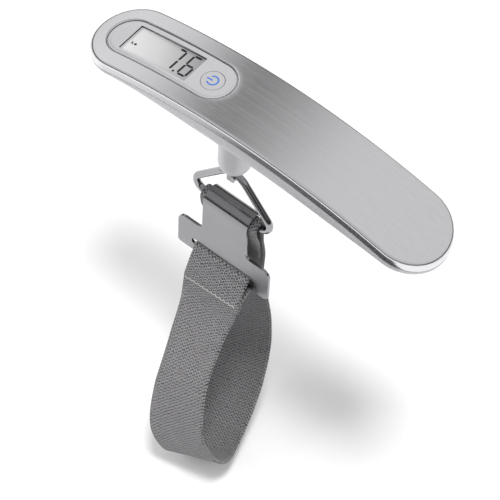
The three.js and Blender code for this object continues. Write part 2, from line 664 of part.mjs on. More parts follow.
// From the front leg's top, down round the bottom of the loop, up the far leg and over the ring's bar.
const strapLoop = () => {
  const points = [
    [0, FOLD_END_Y - 0.3, FOLD_END + 2 * GAP], [0, -9.9, 104], [-0.2, -10.7, 109], [0, -12.8, 115],
    [1.8, -21.6, 126], [6, -34.5, 140], [10.6, -41, 157], [15.2, -37.9, 171.9], [15, -29.5, 180.4],
    [11.4, -15.4, 177.4], [7.4, -2.7, 169.5], [3.2, 6.3, 158], [0.2, 9.2, 143], [-1.6, 8.2, 128],
    [-2, 4.8, 106], [-0.3, 3.2, 86], [0, 1.9, 75],
  ];
  const WRAP_STEPS = 8;
  for (let i = 0; i <= WRAP_STEPS; i++) {
    const angle = (i / WRAP_STEPS) * Math.PI;
    points.push([0, WEB_MIDDLE * Math.cos(angle), BAR_DEPTH - WEB_MIDDLE * Math.sin(angle)]);
  }
  points.push([0, -1.9, 69.5], [0, 0.1, 76], [0, 0.9, 85]);
  return band(points, 3, LOOP_TURNS);
};

// The webbing's near end comes up in front of the plate's lower bar, goes through the slot and hangs down
// behind it.
const strapFold = () => {
  const centreY = (FRONT_Y + BACK_Y) / 2;
  const radius = (BACK_Y - FRONT_Y) / 2;
  const top = SLOT_TOP + SLOT_HEIGHT + 0.1;
  const points = [[0, FOLD_END_Y, FOLD_END], [0, FRONT_Y - 1.4, FOLD_END - 3]];
  const FOLD_STEPS = 6;
  for (let i = 0; i <= FOLD_STEPS; i++) {
    const angle = Math.PI - (i / FOLD_STEPS) * Math.PI;
    points.push([0, centreY + radius * Math.cos(angle), top - radius * Math.sin(angle)]);
  }
  points.push([0, BACK_Y, FOLD_END]);
  return band(points, 3, UNTURNED);
};

// The end that was folded back is sewn on behind the front leg.
const strapDoubledEnd = () => {
  const inside = WEB_THICKNESS + 0.6;
  return band([
    [0, -9.5 + inside, 103],
    [0, -10.2 + inside, 105.5],
    [0, -10.6 + inside, 108.5],
  ], 3, UNTURNED);
};

// ---- assembly ----

const scale = new THREE.Group();
scale.position.z = FACE_ABOVE_ORIGIN;

add(scale, 'steel_cover', steelCover(), brushedSteel);
add(scale, 'inner_chassis', chassis(), darkPlastic);
add(scale, 'lower_housing', lowerHousing(), silverPlastic);
add(scale, 'display_bezel', bezel(), silverPlastic);
addElectronics(scale);
addLoadCell(scale);
addBattery(scale);
add(scale, 'battery_door', batteryDoor(), silverPlastic);
SCREWS.forEach((place, i) => add(scale, `housing_screw_${i + 1}`, housingScrew(place), stampedSteel));

const button = add(scale, 'power_button', powerButton(), silverPlastic);
button.position.set(BUTTON_X, 0, -drop(BUTTON_X));
button.rotation.y = Math.asin(BUTTON_X / ARCH_RADIUS);

add(scale, 'wire_ring', wireRing(), chrome);
add(scale, 'buckle_plate', bucklePlate(), stampedSteel);
add(scale, 'strap_fold', strapFold(), webbing);
add(scale, 'strap_loop', strapLoop(), webbing);
add(scale, 'strap_doubled_end', strapDoubledEnd(), webbing);

export default scale;
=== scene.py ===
"""Looks for the digital luggage scale: steel cover, display, hook, ring, buckle plate and webbing strap."""

import math
from contextlib import contextmanager

import bmesh
import bpy
import numpy as np
from mathutils import Matrix, Vector
from mathutils.geometry import delaunay_2d_cdt


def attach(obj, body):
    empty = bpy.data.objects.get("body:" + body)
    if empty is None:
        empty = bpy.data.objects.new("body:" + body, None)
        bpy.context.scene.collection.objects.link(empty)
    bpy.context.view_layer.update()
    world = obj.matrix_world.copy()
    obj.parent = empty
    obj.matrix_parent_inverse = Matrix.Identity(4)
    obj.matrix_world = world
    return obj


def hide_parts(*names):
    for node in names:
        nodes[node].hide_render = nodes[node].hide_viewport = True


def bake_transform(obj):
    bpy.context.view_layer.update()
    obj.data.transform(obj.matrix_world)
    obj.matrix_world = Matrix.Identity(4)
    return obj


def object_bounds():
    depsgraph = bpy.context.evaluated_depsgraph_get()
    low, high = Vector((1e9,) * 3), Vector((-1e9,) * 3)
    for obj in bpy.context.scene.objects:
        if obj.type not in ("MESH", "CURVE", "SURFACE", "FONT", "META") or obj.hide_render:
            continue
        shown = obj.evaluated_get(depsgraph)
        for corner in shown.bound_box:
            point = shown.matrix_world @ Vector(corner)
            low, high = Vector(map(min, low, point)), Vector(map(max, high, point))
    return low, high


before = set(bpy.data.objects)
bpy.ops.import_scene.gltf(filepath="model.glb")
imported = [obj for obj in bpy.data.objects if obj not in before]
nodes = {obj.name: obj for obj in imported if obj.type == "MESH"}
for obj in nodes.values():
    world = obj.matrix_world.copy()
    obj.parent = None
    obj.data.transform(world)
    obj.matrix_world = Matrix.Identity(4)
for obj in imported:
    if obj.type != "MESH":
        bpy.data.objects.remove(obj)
cad_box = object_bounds()

# ---------------------------------------------------------------- dimensions (mm, as in the CAD)
MM = 0.001
FACE_Z = 9.4
HALF_LENGTH = 71.9
HALF_WIDTH = 14.7
ARCH_RADIUS = 245.0
GAP = 0.3
COVER_THICKNESS = 0.8
COVER_EDGE_RADIUS = 1.3
SKIRT_DEPTH = 4.0
WALL = 1.6
RIM_DEPTH = SKIRT_DEPTH + GAP
BELLY_MIDDLE = 13.6
BELLY_ENDS = 4.5
BELLY_CENTRE_X = 8.0
BELLY_SPREAD = 52.0
BELLY_SQUARENESS = 2.4
HOOK_X = -12.7
HOOK_HALF_THICKNESS = 1.0
HOOK_HALF_DEPTH = 3.0
BOSS_RADIUS = 6.0
DOME_CENTRE_DEPTH = 35.5
WINDOW_X = -40.9
WINDOW_HALF_LENGTH = 25.2
WINDOW_RADIUS = 7.87
RECESS = 0.8
LCD_X = -45.0
LCD_Y = 0.4
LCD_LENGTH = 28.2
LCD_WIDTH = 12.1
LCD_TOP = 2.2
TANGENT_X = -44.0  # the display lies flat, parallel to the face here
BUTTON_X = -23.5
BUTTON_RADIUS = 4.05
CELL_X = 38.0
DOOR_HALF_LENGTH = 15.0
DOOR_HALF_WIDTH = 9.6
SCREWS = [(12, -6.5), (12, 6.5), (61, -5), (61, 5)]
SCREW_HEAD_RADIUS = 2.1
SCREW_HEAD_HEIGHT = 1.4
UNDER_ALL = 30.0  # deeper than any part of the belly
WIRE_RADIUS = 1.4
APEX_DEPTH = 44.0
BAR_DEPTH = 65.3
RING_HALF_WIDTH = 16.2
RING_CORNER = 4.2
RING_APEX_RADIUS = 6.5
WEB_WIDTH = 25.0
WEB_THICKNESS = 1.3
PLATE_THICKNESS = 1.1
WRAP_INNER = WIRE_RADIUS + GAP
ROLL_INNER = WRAP_INNER + WEB_THICKNESS + GAP
ROLL_OUTER = ROLL_INNER + PLATE_THICKNESS
ROLL_END = math.radians(15)
TONGUE_HALF_WIDTH = 9.8
WING_HALF_WIDTH = 20.6
SHOULDER_DEPTH = 81.6
SLOT_TOP = 91.5
SLOT_HEIGHT = 3.0
SLOT_HALF_WIDTH = 14.2
PLATE_BOTTOM = 98.5
FOLD_END = 100.0
FOLD_END_Y = -8.2
FRONT_PIECE_END = 150.0
FRONT_Y = -(ROLL_OUTER + GAP + WEB_THICKNESS / 2)
BACK_Y = -(ROLL_INNER - GAP - WEB_THICKNESS / 2)
WEB_MIDDLE = WRAP_INNER + WEB_THICKNESS / 2
# How far the webbing's width has turned out of +X, as (share of the length, back, up).
LOOP_TURNS = [
    (0, 0, 0), (0.07, 0.03, 0.48), (0.14, 0.11, 0.64), (0.23, 0.18, 0.71), (0.32, 0.15, 0.49),
    (0.44, 0.16, 0.41), (0.55, 0.2, 0.37), (0.66, 0.22, 0.3), (0.77, 0.15, 0.18), (0.88, 0, 0), (1, 0, 0)]


def drop(x):
    """How far the arched face lies below its apex at x."""
    return ARCH_RADIUS - math.sqrt(ARCH_RADIUS**2 - x**2)


def belly_depth(x):
    """The depth of the lower housing's underside along the middle."""
    share = math.exp(-(((x - BELLY_CENTRE_X) / BELLY_SPREAD) ** 4))
    return RIM_DEPTH + drop(x) + BELLY_ENDS + (BELLY_MIDDLE - BELLY_ENDS) * share


def belly_surface(x, y):
    """The depth of the belly's outer surface at a point inside its outline."""
    rim = RIM_DEPTH + drop(x)
    along = max(abs(x) - (HALF_LENGTH - HALF_WIDTH), 0)
    reach = min(math.hypot(along, y) / (HALF_WIDTH - GAP / 2), 1)
    return rim + (belly_depth(x) - rim) * (1 - reach**BELLY_SQUARENESS) ** (1 / BELLY_SQUARENESS)


# ---------------------------------------------------------------- mesh helpers
@contextmanager
def editing(mesh):
    """A bmesh of a mesh, written back at the end."""
    bm = bmesh.new()
    bm.from_mesh(mesh)
    yield bm
    bm.to_mesh(mesh)
    bm.free()


def placed(name, data):
    obj = bpy.data.objects.new(name, data)
    bpy.context.scene.collection.objects.link(obj)
    return obj


def mesh_from(name, points, faces):
    """A mesh from points given as (x, y, depth) in mm."""
    mesh = bpy.data.meshes.new(name)
    mesh.from_pydata([(x * MM, y * MM, (FACE_Z - depth) * MM) for x, y, depth in points], [], faces)
    return mesh


def make(name, points, faces, material, matrix=None):
    """A mesh object from points given as (x, y, depth) in mm."""
    mesh = mesh_from(name, points, faces)
    with editing(mesh) as bm:
        bmesh.ops.remove_doubles(bm, verts=bm.verts, dist=1e-7)
        bmesh.ops.dissolve_degenerate(bm, edges=bm.edges, dist=1e-8)
        bmesh.ops.recalc_face_normals(bm, faces=bm.faces)
    if matrix is not None:
        mesh.transform(matrix)
    if material is not None:
        mesh.materials.append(material)
    return placed(name, mesh)


def smooth(obj, angle):
    """Smooth shading, with edges sharper than the angle in degrees left sharp."""
    mesh = obj.data
    mesh.polygons.foreach_set("use_smooth", [True] * len(mesh.polygons))
    mesh.set_sharp_from_angle(angle=math.radians(angle))
    return obj


def baked(obj):
    """Applies the modifiers of an object."""
    bpy.context.view_layer.update()
    mesh = bpy.data.meshes.new_from_object(obj.evaluated_get(bpy.context.evaluated_depsgraph_get()))
    mesh.name = obj.name
    obj.modifiers.clear()
    old = obj.data
    obj.data = mesh
    bpy.data.meshes.remove(old)
    return obj


def boolean(obj, tools, operation="DIFFERENCE"):
    for tool in tools:
        modifier = obj.modifiers.new("cut", "BOOLEAN")
        modifier.object = tool
        modifier.operation = operation
        modifier.solver = "EXACT"
    baked(obj)
    for tool in tools:
        bpy.data.objects.remove(tool)
    return obj


def join(obj, others):
    """Moves the geometry of other objects into obj."""
    with editing(obj.data) as bm:
        for other in others:
            bm.from_mesh(other.data)
            bpy.data.objects.remove(other)
    return obj


def bevel(obj, width, segments, angle):
    modifier = obj.modifiers.new("edges", "BEVEL")
    modifier.width = width * MM
    modifier.segments = segments
    modifier.limit_method = "ANGLE"
    modifier.angle_limit = math.radians(angle)
    modifier.miter_outer = "MITER_ARC"
    return baked(obj)


def flattened(obj, angle):
    """Smooth shading that leaves large flat faces evenly lit up to their bevels."""
    smooth(obj, angle)
    modifier = obj.modifiers.new("normals", "WEIGHTED_NORMAL")
    modifier.keep_sharp = True
    modifier.weight = 100
    return baked(obj)


def loft(rings, wrap=False):
    """(points, faces) of the skin over rings of equal count."""
    points = [p for ring in rings for p in ring]
    count = len(rings[0])
    pairs = [(k, k + 1) for k in range(len(rings) - 1)] + ([(len(rings) - 1, 0)] if wrap else [])
    faces = []
    for a, b in pairs:
        for i in range(count):
            j = (i + 1) % count
            faces.append((a * count + i, a * count + j, b * count + j, b * count + i))
    return points, faces


def round_ended(centre_x, half_length, half_width, inset):
    """An outline with half-round ends, drawn in by the inset, always with the same number of points."""
    end_points, side_points = 44, 40
    radius = max(half_width - inset, 0)
    reach = half_length - half_width
    points = []
    for side in (1, -1):
        for i in range(end_points):
            angle = side * -math.pi / 2 + math.pi * i / end_points
            points.append((centre_x + side * reach + radius * math.cos(angle), radius * math.sin(angle)))
        for i in range(side_points):
            points.append((centre_x + side * reach * (1 - 2 * i / side_points), side * radius))
    return points


def arched(outline, depth):
    """An outline laid at a depth under the arched face."""
    return [(x, y, depth + drop(x)) for x, y in outline]


def between(a, b, share):
    return [(p[0] + (q[0] - p[0]) * share, p[1] + (q[1] - p[1]) * share) for p, q in zip(a, b)]


def prism(name, outline, top, bottom):
    """A closed upright prism, to cut with."""
    count = len(outline)
    points = [(x, y, top) for x, y in outline] + [(x, y, bottom) for x, y in outline]
    faces = [tuple(range(count)), tuple(range(2 * count - 1, count - 1, -1))]
    faces += [(i, (i + 1) % count, count + (i + 1) % count, count + i) for i in range(count)]
    return make(name, points, faces, None)


def rounded_rectangle(cx, cy, half_x, half_y, radius, steps=6):
    points = []
    for k, (sx, sy) in enumerate([(1, 1), (-1, 1), (-1, -1), (1, -1)]):
        for i in range(steps + 1):
            angle = (k + i / steps) * math.pi / 2
            points.append((cx + sx * (half_x - radius) + radius * math.cos(angle),
                           cy + sy * (half_y - radius) + radius * math.sin(angle)))
    return points


def circle(cx, cy, radius, steps):
    angles = [2 * math.pi * i / steps for i in range(steps)]
    return [(cx + radius * math.cos(angle), cy + radius * math.sin(angle)) for angle in angles]


def lathe(name, profile, material, matrix):
    """A body turned about the local z axis from (radius, depth) pairs."""
    steps = 72
    rings = [[(x, y, depth) for x, y in circle(0, 0, radius, steps)] for radius, depth in profile]
    points, faces = loft(rings)
    return make(name, points, faces, material, matrix)


def sheet_body(faces, count):
    """The faces of a closed body whose two sides are copies of one sheet of count points."""
    edges = {(face[i - 1], face[i]): None for face in faces for i in range(len(face))}
    skin = [tuple(face) for face in faces] + [tuple(count + i for i in reversed(face)) for face in faces]
    return skin + [(b, a, count + a, count + b) for a, b in edges if (b, a) not in edges]


def filled(*outlines):
    """(points, faces) of the flat area inside closed outlines."""
    points, edges = [], []
    for outline in outlines:
        start, count = len(points), len(outline)
        edges += [(start + i, start + (i + 1) % count) for i in range(count)]
        points += [Vector(p) for p in outline]
    verts, _, faces, *_ = delaunay_2d_cdt(points, edges, [], 1, 1e-6)
    return [Vector(v) for v in verts], faces


def flat_piece(name, outline, top, thickness, material, matrix):
    """A thin flat body from an outline, lying at a depth in its local frame."""
    verts, faces = filled(outline)
    sides = [(v.x, v.y, depth) for depth in (top, top + thickness) for v in verts]
    return make(name, sides, sheet_body(faces, len(verts)), material, matrix)


def on_arch(x):
    """Places a body modelled about the face's apex at x on the arch, tilted with it."""
    lift = Matrix.Translation((0, 0, FACE_Z * MM))
    return (Matrix.Translation((x * MM, 0, (FACE_Z - drop(x)) * MM))
            @ Matrix.Rotation(math.asin(x / ARCH_RADIUS), 4, "Y") @ lift.inverted())


# ---------------------------------------------------------------- materials
def shader(name, colour, roughness, metallic=0.0, **sockets):
    material = bpy.data.materials.new(name)
    material.use_nodes = True
    tree = material.node_tree
    bsdf = tree.nodes["Principled BSDF"]
    values = {"Base_Color": (*colour, 1), "Roughness": roughness, "Metallic": metallic, **sockets}
    for key, value in values.items():
        bsdf.inputs[key.replace("_", " ")].default_value = value
    return material, tree, bsdf


def srgb(code):
    """The linear colour of a hex code."""
    values = [int(code[i:i + 2], 16) / 255 for i in (0, 2, 4)]
    return tuple(v / 12.92 if v <= 0.04045 else ((v + 0.055) / 1.055) ** 2.4 for v in values)


def node(tree, kind, **settings):
    """A shader node with its properties and its input sockets' values or links, by name."""
    made = tree.nodes.new(kind)
    for key, value in settings.items():
        if hasattr(made, key):
            setattr(made, key, value)
        elif isinstance(value, bpy.types.NodeSocket):
            tree.links.new(value, made.inputs[key])
        else:
            made.inputs[key].default_value = value
    return made


def axes(tree, vector):
    """The three components of a vector."""
    parts = node(tree, "ShaderNodeSeparateXYZ", Vector=vector)
    return [parts.outputs[axis] for axis in "XYZ"]


def noise(tree, scale, detail=3.0, stretch=(1, 1, 1), roughness=0.5):
    """Noise in the object's own space; scale is in features per millimetre."""
    where = node(tree, "ShaderNodeTexCoord").outputs["Object"]
    place = node(tree, "ShaderNodeMapping", Scale=[s / MM for s in stretch], Vector=where).outputs["Vector"]
    texture = node(tree, "ShaderNodeTexNoise", Scale=scale, Detail=detail, Roughness=roughness, Vector=place)
    return texture.outputs["Fac"]


def ramp(tree, value, stops):
    """A colour ramp over a value, from (position, colour or grey) stops."""
    made = node(tree, "ShaderNodeValToRGB", Fac=value)
    elements = made.color_ramp.elements
    elements[0].position, elements[1].position = stops[0][0], stops[-1][0]
    for position, _ in stops[1:-1]:
        elements.new(position)
    for element, (_, colour) in zip(elements, stops):
        element.color = (*colour, 1) if hasattr(colour, "__len__") else (colour, colour, colour, 1)
    return made.outputs["Color"]


def math_node(tree, operation, *values):
    made = node(tree, "ShaderNodeMath", operation=operation)
    for socket, value in zip(made.inputs, values):
        if isinstance(value, (int, float)):
            socket.default_value = value
        else:
            tree.links.new(value, socket)
    return made.outputs[0]


def bump(tree, bsdf, height, strength, distance):
    made = node(tree, "ShaderNodeBump", Strength=strength, Distance=distance * MM, Height=height)
    tree.links.new(made.outputs["Normal"], bsdf.inputs["Normal"])


def scaled(colour, factor):
    return tuple(min(c * factor, 1) for c in colour)


def vary_roughness(tree, bsdf, value, roughness, spread):
    """Lets the roughness wander about its middle with a noise value."""
    limits = {"From Min": 0.3, "From Max": 0.7, "To Min": max(roughness - spread, 0.02),
              "To Max": roughness + spread}
    rough = node(tree, "ShaderNodeMapRange", Value=value, **limits)
    tree.links.new(rough.outputs["Result"], bsdf.inputs["Roughness"])


def brushed(name, colour, roughness, along="x"):
    """Metal with a fine grain along one axis."""
    material, tree, bsdf = shader(name, colour, roughness, 1.0)
    fine, broad = 0.008, 0.0048
    stretch = {length: (length, 1, 1) if along == "x" else (1, length, 1) for length in (fine, broad)}
    grain = noise(tree, 5.0, 4.0, stretch[fine], 0.65)
    streaks = noise(tree, 0.9, 3.0, stretch[broad], 0.6)
    mixed = math_node(tree, "MULTIPLY_ADD", grain, 0.6, math_node(tree, "MULTIPLY", streaks, 0.4))
    tone = ramp(tree, mixed, [(0.3, scaled(colour, 0.93)), (0.5, colour), (0.7, scaled(colour, 1.05))])
    tree.links.new(tone, bsdf.inputs["Base Color"])
    vary_roughness(tree, bsdf, mixed, roughness, 0.05)
    bump(tree, bsdf, mixed, 0.06, 0.012)
    return material


def satin(name, colour, roughness, metallic, scale=3.0, spread=0.06, strength=0.15, tone=0.06, **sockets):
    """A surface with a fine even grain, as moulded plastic or tumbled metal has."""
    material, tree, bsdf = shader(name, colour, roughness, metallic, **sockets)
    grain = noise(tree, scale, 4.0, roughness=0.6)
    cloud = noise(tree, 0.09, 2.0)
    shade = ramp(tree, cloud, [(0.3, scaled(colour, 1 - tone)), (0.7, scaled(colour, 1 + tone))])
    tree.links.new(shade, bsdf.inputs["Base Color"])
    vary_roughness(tree, bsdf, grain, roughness, spread)
    bump(tree, bsdf, grain, strength, 0.02)
    return material


def woven(name, crest, hollow_shade):
    """Webbing: columns of yarn that lean left and right in turn, so that the rows run in zigzags."""
    column, row = 1.7, 1.3
    material, tree, bsdf = shader(name, crest, 0.85, 0.0, Sheen_Weight=0.25, Sheen_Roughness=0.5)
    u, v, _ = axes(tree, node(tree, "ShaderNodeUVMap", uv_map="web").outputs["UV"])
    columns = math_node(tree, "MULTIPLY", u, 1 / column)
    place = math_node(tree, "MULTIPLY_ADD", noise(tree, 0.3, 2.0), 0.5, columns)
    zigzag = math_node(tree, "PINGPONG", place, 0.5)
    wander = math_node(tree, "MULTIPLY", noise(tree, 0.45, 3.0), 0.9)
    rows = math_node(tree, "MULTIPLY_ADD", v, 1 / row, wander)
    phase = math_node(tree, "ADD", rows, math_node(tree, "MULTIPLY", zigzag, 1.6))
    wave = math_node(tree, "COSINE", math_node(tree, "MULTIPLY", phase, 2 * math.pi))
    rib = math_node(tree, "MULTIPLY_ADD", wave, 0.5, 0.5)
    swing = math_node(tree, "SINE", math_node(tree, "MULTIPLY", place, 2 * math.pi))
    yarn = math_node(tree, "POWER", math_node(tree, "ABSOLUTE", swing), 0.9)
    cloth = math_node(tree, "MULTIPLY", rib, math_node(tree, "MULTIPLY_ADD", yarn, 0.85, 0.15))
    fibre = noise(tree, 5.0, 3.0, roughness=0.7)
    patch = math_node(tree, "MULTIPLY", noise(tree, 0.8, 2.0), 0.5)
    height = math_node(tree, "ADD", math_node(tree, "MULTIPLY_ADD", fibre, 0.3, cloth), patch)
    flank = tuple(0.42 * (a + b) for a, b in zip(crest, hollow_shade))
    # Painted shade: the ramp darkens the weave's hollows to the hollow colour; the crests keep the yarn's
    # grey.
    tone = ramp(tree, height, [(0.36, hollow_shade), (0.6, flank), (0.85, crest)])
    tree.links.new(tone, bsdf.inputs["Base Color"])
    bump(tree, bsdf, height, 1.0, 0.45)
    return material


STEEL = brushed("brushed_steel", srgb("dcdcde"), 0.22)
CHROME = satin("chrome_wire", srgb("9c9c9e"), 0.08, 1.0, scale=1.2, spread=0.03, strength=0.05, tone=0.03)
STAMPED = satin("stamped_steel", srgb("8e8e90"), 0.2, 1.0, scale=1.2, spread=0.04, strength=0.025, tone=0.03)
SILVER = satin("silver_plastic", srgb("c8c7ca"), 0.38, 0.2, scale=4.0, spread=0.05, strength=0.06, tone=0.03)
BEZEL = satin("bezel_plastic", srgb("b3b2b4"), 0.36, 0.1, scale=4.0, spread=0.05, strength=0.1, tone=0.02)
BLACK = satin("black_plastic", srgb("18181a"), 0.55, 0.0, scale=4.0)
INNER = satin("inner_plastic", srgb("3a3b3d"), 0.6, 0.0, scale=3.0)
ALUMINIUM = brushed("machined_aluminium", srgb("c4c6c8"), 0.4, "y")
BOARD = satin("board_mask", srgb("1d5a38"), 0.45, 0.0, scale=1.0, tone=0.15)
RED = satin("red_insulation", srgb("a02420"), 0.45, 0.0)
GOLD = satin("gauge_film", srgb("b98b3a"), 0.4, 0.3)
INK = satin("display_ink", srgb("1c1d1f"), 0.5, 0.0)
BLUE = satin("blue_print", srgb("2f6cc0"), 0.4, 0.0)
# One webbing in two copies: the inner face's copy is darker as painted shade. The last colour of each is the
# painted shade of the weave's hollows.
WEB = woven("webbing", srgb("a09ea0"), srgb("232224"))
WEB_INNER_SHADE = woven("webbing_inner_painted_shade", srgb("868587"), srgb("2e2d2f"))
THREAD = satin("thread", srgb("bebcbc"), 0.8, 0.0, scale=5.0, strength=0.5)


def liquid_crystal():
    """The display's glass, with painted shade: a little darker towards its button end."""
    gloss = {"Coat_Weight": 0.6, "Coat_Roughness": 0.08}
    material, tree, bsdf = shader("liquid_crystal", srgb("c4c4c5"), 0.22, **gloss)
    x, y, _ = axes(tree, node(tree, "ShaderNodeTexCoord").outputs["Object"])
    start = (LCD_X - LCD_LENGTH / 2) * MM
    along = math_node(tree, "DIVIDE", math_node(tree, "SUBTRACT", x, start), LCD_LENGTH * MM)
    lean = math_node(tree, "MULTIPLY_ADD", y, 18.0, along)
    # Painted shade: the grey darkens along the glass towards the button end and towards its far side.
    greys = [(0.0, srgb("c8c8c9")), (0.45, srgb("b6b6b7")), (0.8, srgb("9a9a9b")), (1.0, srgb("88888a"))]
    tree.links.new(ramp(tree, lean, greys), bsdf.inputs["Base Color"])
    bump(tree, bsdf, noise(tree, 6.0, 2.0), 0.05, 0.01)
    return material


LCD = liquid_crystal()

# The parts inside the grip keep the CAD's shapes.
FINISHES = {
    INNER: ("inner_chassis", "cell_holder"),
    LCD: ("lcd_panel",),
    BLACK: ("contact_strip_far", "contact_strip_near", "chip_cover", "button_switch", "battery_lead_black"),
    BOARD: ("circuit_board",),
    ALUMINIUM: ("load_cell_beam",),
    STAMPED: ("load_cell_screw_left", "load_cell_screw_right", "load_hook",
              *(f"housing_screw_{i + 1}" for i in range(len(SCREWS)))),
    CHROME: ("hook_pin", "coin_cell", "cell_contact_negative", "cell_contact_positive"),
    GOLD: ("strain_gauge_top", "strain_gauge_bottom"),
    RED: ("sensor_lead", "battery_lead_red"),
}
for material, names in FINISHES.items():
    for name in names:
        data = nodes[name].data
        data.materials.clear()
        data.materials.append(material)


# ---------------------------------------------------------------- grip
def cover_outline(inset):
    return round_ended(0, HALF_LENGTH, HALF_WIDTH, inset)


def window_outline(inset):
    return round_ended(WINDOW_X, WINDOW_HALF_LENGTH + GAP, WINDOW_RADIUS + GAP, inset)


def steel_cover():
    """The drawn sheet, lofted from the window's lip over the face, round the skirt and back underneath."""
    lip, lip_steps, face_steps, edge_steps, under_steps = 0.7, 6, 40, 8, 30
    rings = [arched(window_outline(0), COVER_THICKNESS), arched(window_outline(0), lip)]
    for i in range(1, lip_steps + 1):
        angle = i / lip_steps * math.pi / 2
        rings.append(arched(window_outline(-lip * (1 - math.cos(angle))), lip * (1 - math.sin(angle))))
    inner, outer = window_outline(-lip), cover_outline(COVER_EDGE_RADIUS)
    rings += [arched(between(inner, outer, i / face_steps), 0) for i in range(1, face_steps)]
    for i in range(edge_steps + 1):
        angle = i / edge_steps * math.pi / 2
        edge = cover_outline(COVER_EDGE_RADIUS * (1 - math.sin(angle)))
        rings.append(arched(edge, COVER_EDGE_RADIUS * (1 - math.cos(angle))))
    skirt = [(0, 2.4), (0, SKIRT_DEPTH - 0.2), (0.06, SKIRT_DEPTH - 0.06), (0.2, SKIRT_DEPTH),
             (COVER_THICKNESS - 0.2, SKIRT_DEPTH), (COVER_THICKNESS - 0.06, SKIRT_DEPTH - 0.06),
             (COVER_THICKNESS, SKIRT_DEPTH - 0.2), (COVER_THICKNESS, COVER_EDGE_RADIUS),
             (COVER_EDGE_RADIUS, COVER_THICKNESS)]
    rings += [arched(cover_outline(inset), depth) for inset, depth in skirt]
    inner, outer = window_outline(0), cover_outline(COVER_EDGE_RADIUS)
    rings += [arched(between(outer, inner, i / under_steps), COVER_THICKNESS) for i in range(1, under_steps)]
    points, faces = loft(rings, wrap=True)
    return smooth(make("cover", points, faces, STEEL), 50)


def paint_display_wall_shade(body):
    """Blackens the walls of the display's opening next to the glass: painted shade, the dark line where the
    recess is in shade.
    """
    shade_height, margin = 0.8, 0.1
    tilt = on_arch(TANGENT_X)
    level = tilt @ Vector((0, 0, (FACE_Z - LCD_TOP + shade_height) * MM))
    up = tilt.to_3x3() @ Vector((0, 0, 1))

    def beside_display(face):
        x, y = (v / MM for v in face.calc_center_median()[:2])
        near = abs(x - LCD_X) < LCD_LENGTH / 2 + margin and abs(y - LCD_Y) < LCD_WIDTH / 2 + margin
        return near and abs(face.normal.z) < 0.6

    # Painted shade: the walls' lower band takes the black material.
    body.data.materials.append(BLACK)
    with editing(body.data) as bm:
        sides = [f for f in bm.faces if beside_display(f)]
        around = sides + list({e for f in sides for e in f.edges})
        around += list({v for f in sides for v in f.verts})
        bmesh.ops.bisect_plane(bm, geom=around, plane_co=level, plane_no=up)
        for face in bm.faces:
            if beside_display(face) and (face.calc_center_median() - level).dot(up) < 0:
                face.material_index = 1


def bezel():
    """The bezel, lofted from its middle out to the rim and back underneath, then cut open."""
    rim_bottom, flange, floor, base = 1.05, -1.6, 1.6, 2.5
    layers = [(WINDOW_RADIUS, RECESS), (6.5, RECESS), (4.5, RECESS), (2.6, RECESS), (1.5, RECESS),
              (1.2, RECESS - 0.02), (0.95, 0.7), (0.7, 0.56), (0.5, 0.46), (0.3, 0.42), (0.1, 0.45),
              (0, 0.54), (0, rim_bottom), (flange, rim_bottom), (flange, floor), (-flange, floor),
              (-flange, base), (4, base), (WINDOW_RADIUS, base)]
    rings = [arched(round_ended(WINDOW_X, WINDOW_HALF_LENGTH, WINDOW_RADIUS, inset), depth)
             for inset, depth in layers]
    points, faces = loft(rings)
    body = make("bezel", points, faces, BEZEL)
    above, below, corner = -2, 15, 0.3
    view = rounded_rectangle(LCD_X, LCD_Y, LCD_LENGTH / 2, LCD_WIDTH / 2, corner)
    opening = prism("tool", view, above, below)
    # Under the face, a pocket holds the button's collar and a seat holds the display's glass.
    hole, pocket, pocket_top, pocket_end = BUTTON_RADIUS + 0.15, BUTTON_RADIUS + 1.05, 2.05, 8
    profile = [(0, above), (hole, above), (hole, pocket_top), (pocket, pocket_top), (pocket, pocket_end),
               (0, pocket_end)]
    bore = lathe("tool", profile, None, on_arch(BUTTON_X))
    seat_half_length, seat_half_width, seat_height, play = 15.7, 7.6, 3, 0.02
    glass = rounded_rectangle(LCD_X - TANGENT_X, LCD_Y, seat_half_length, seat_half_width, corner)
    seat = flat_piece("tool", glass, LCD_TOP - play, seat_height, None, on_arch(TANGENT_X))
    boolean(body, [opening, bore, seat])
    paint_display_wall_shade(body)
    return smooth(body, 30)


def segment(x0, y0, x1, y1, width):
    """A six-cornered display segment between two points."""
    direction = Vector((x1 - x0, y1 - y0)).normalized()
    side = Vector((-direction.y, direction.x)) * width / 2
    tip = direction * width / 2
    a, b = Vector((x0, y0)), Vector((x1, y1))
    return [tuple(p) for p in (a, a + tip + side, b - tip + side, b, b - tip - side, a + tip - side)]


def display_digits():
    """Seven-segment digits, a decimal point and a small unit mark on the display's plane."""
    height, stroke, lean, trim, bottom = 9.1, 0.83, 0.03, 0.12, -3.4
    shapes = []
    for left, width, lit in ((-42.35, 2.85, "abc"), (-36.15, 3.3, "afgecd")):
        lines = {
            "a": (0, height, width, height), "b": (width, height, width, height / 2),
            "c": (width, height / 2, width, 0), "d": (0, 0, width, 0), "e": (0, height / 2, 0, 0),
            "f": (0, height, 0, height / 2), "g": (0, height / 2, width, height / 2),
        }
        for key in lit:
            x0, y0, x1, y1 = lines[key]
            inward = Vector((x1 - x0, y1 - y0)).normalized() * trim
            corners = segment(x0 + inward.x, y0 + inward.y, x1 - inward.x, y1 - inward.y, stroke)
            shapes.append([(left + x + lean * y, y) for x, y in corners])
    shapes.append(circle(-37.8, 0, 0.45, 12))
    shapes = [[(x, y + bottom) for x, y in shape] for shape in shapes] + unit_mark()
    made = []
    for shape in shapes:
        shifted = [(x - TANGENT_X, y) for x, y in shape]
        made.append(flat_piece("digit", shifted, LCD_TOP - 0.03, 0.025, INK, on_arch(TANGENT_X)))
    digits = join(made[0], made[1:])
    digits.name = "display_digits"
    return digits


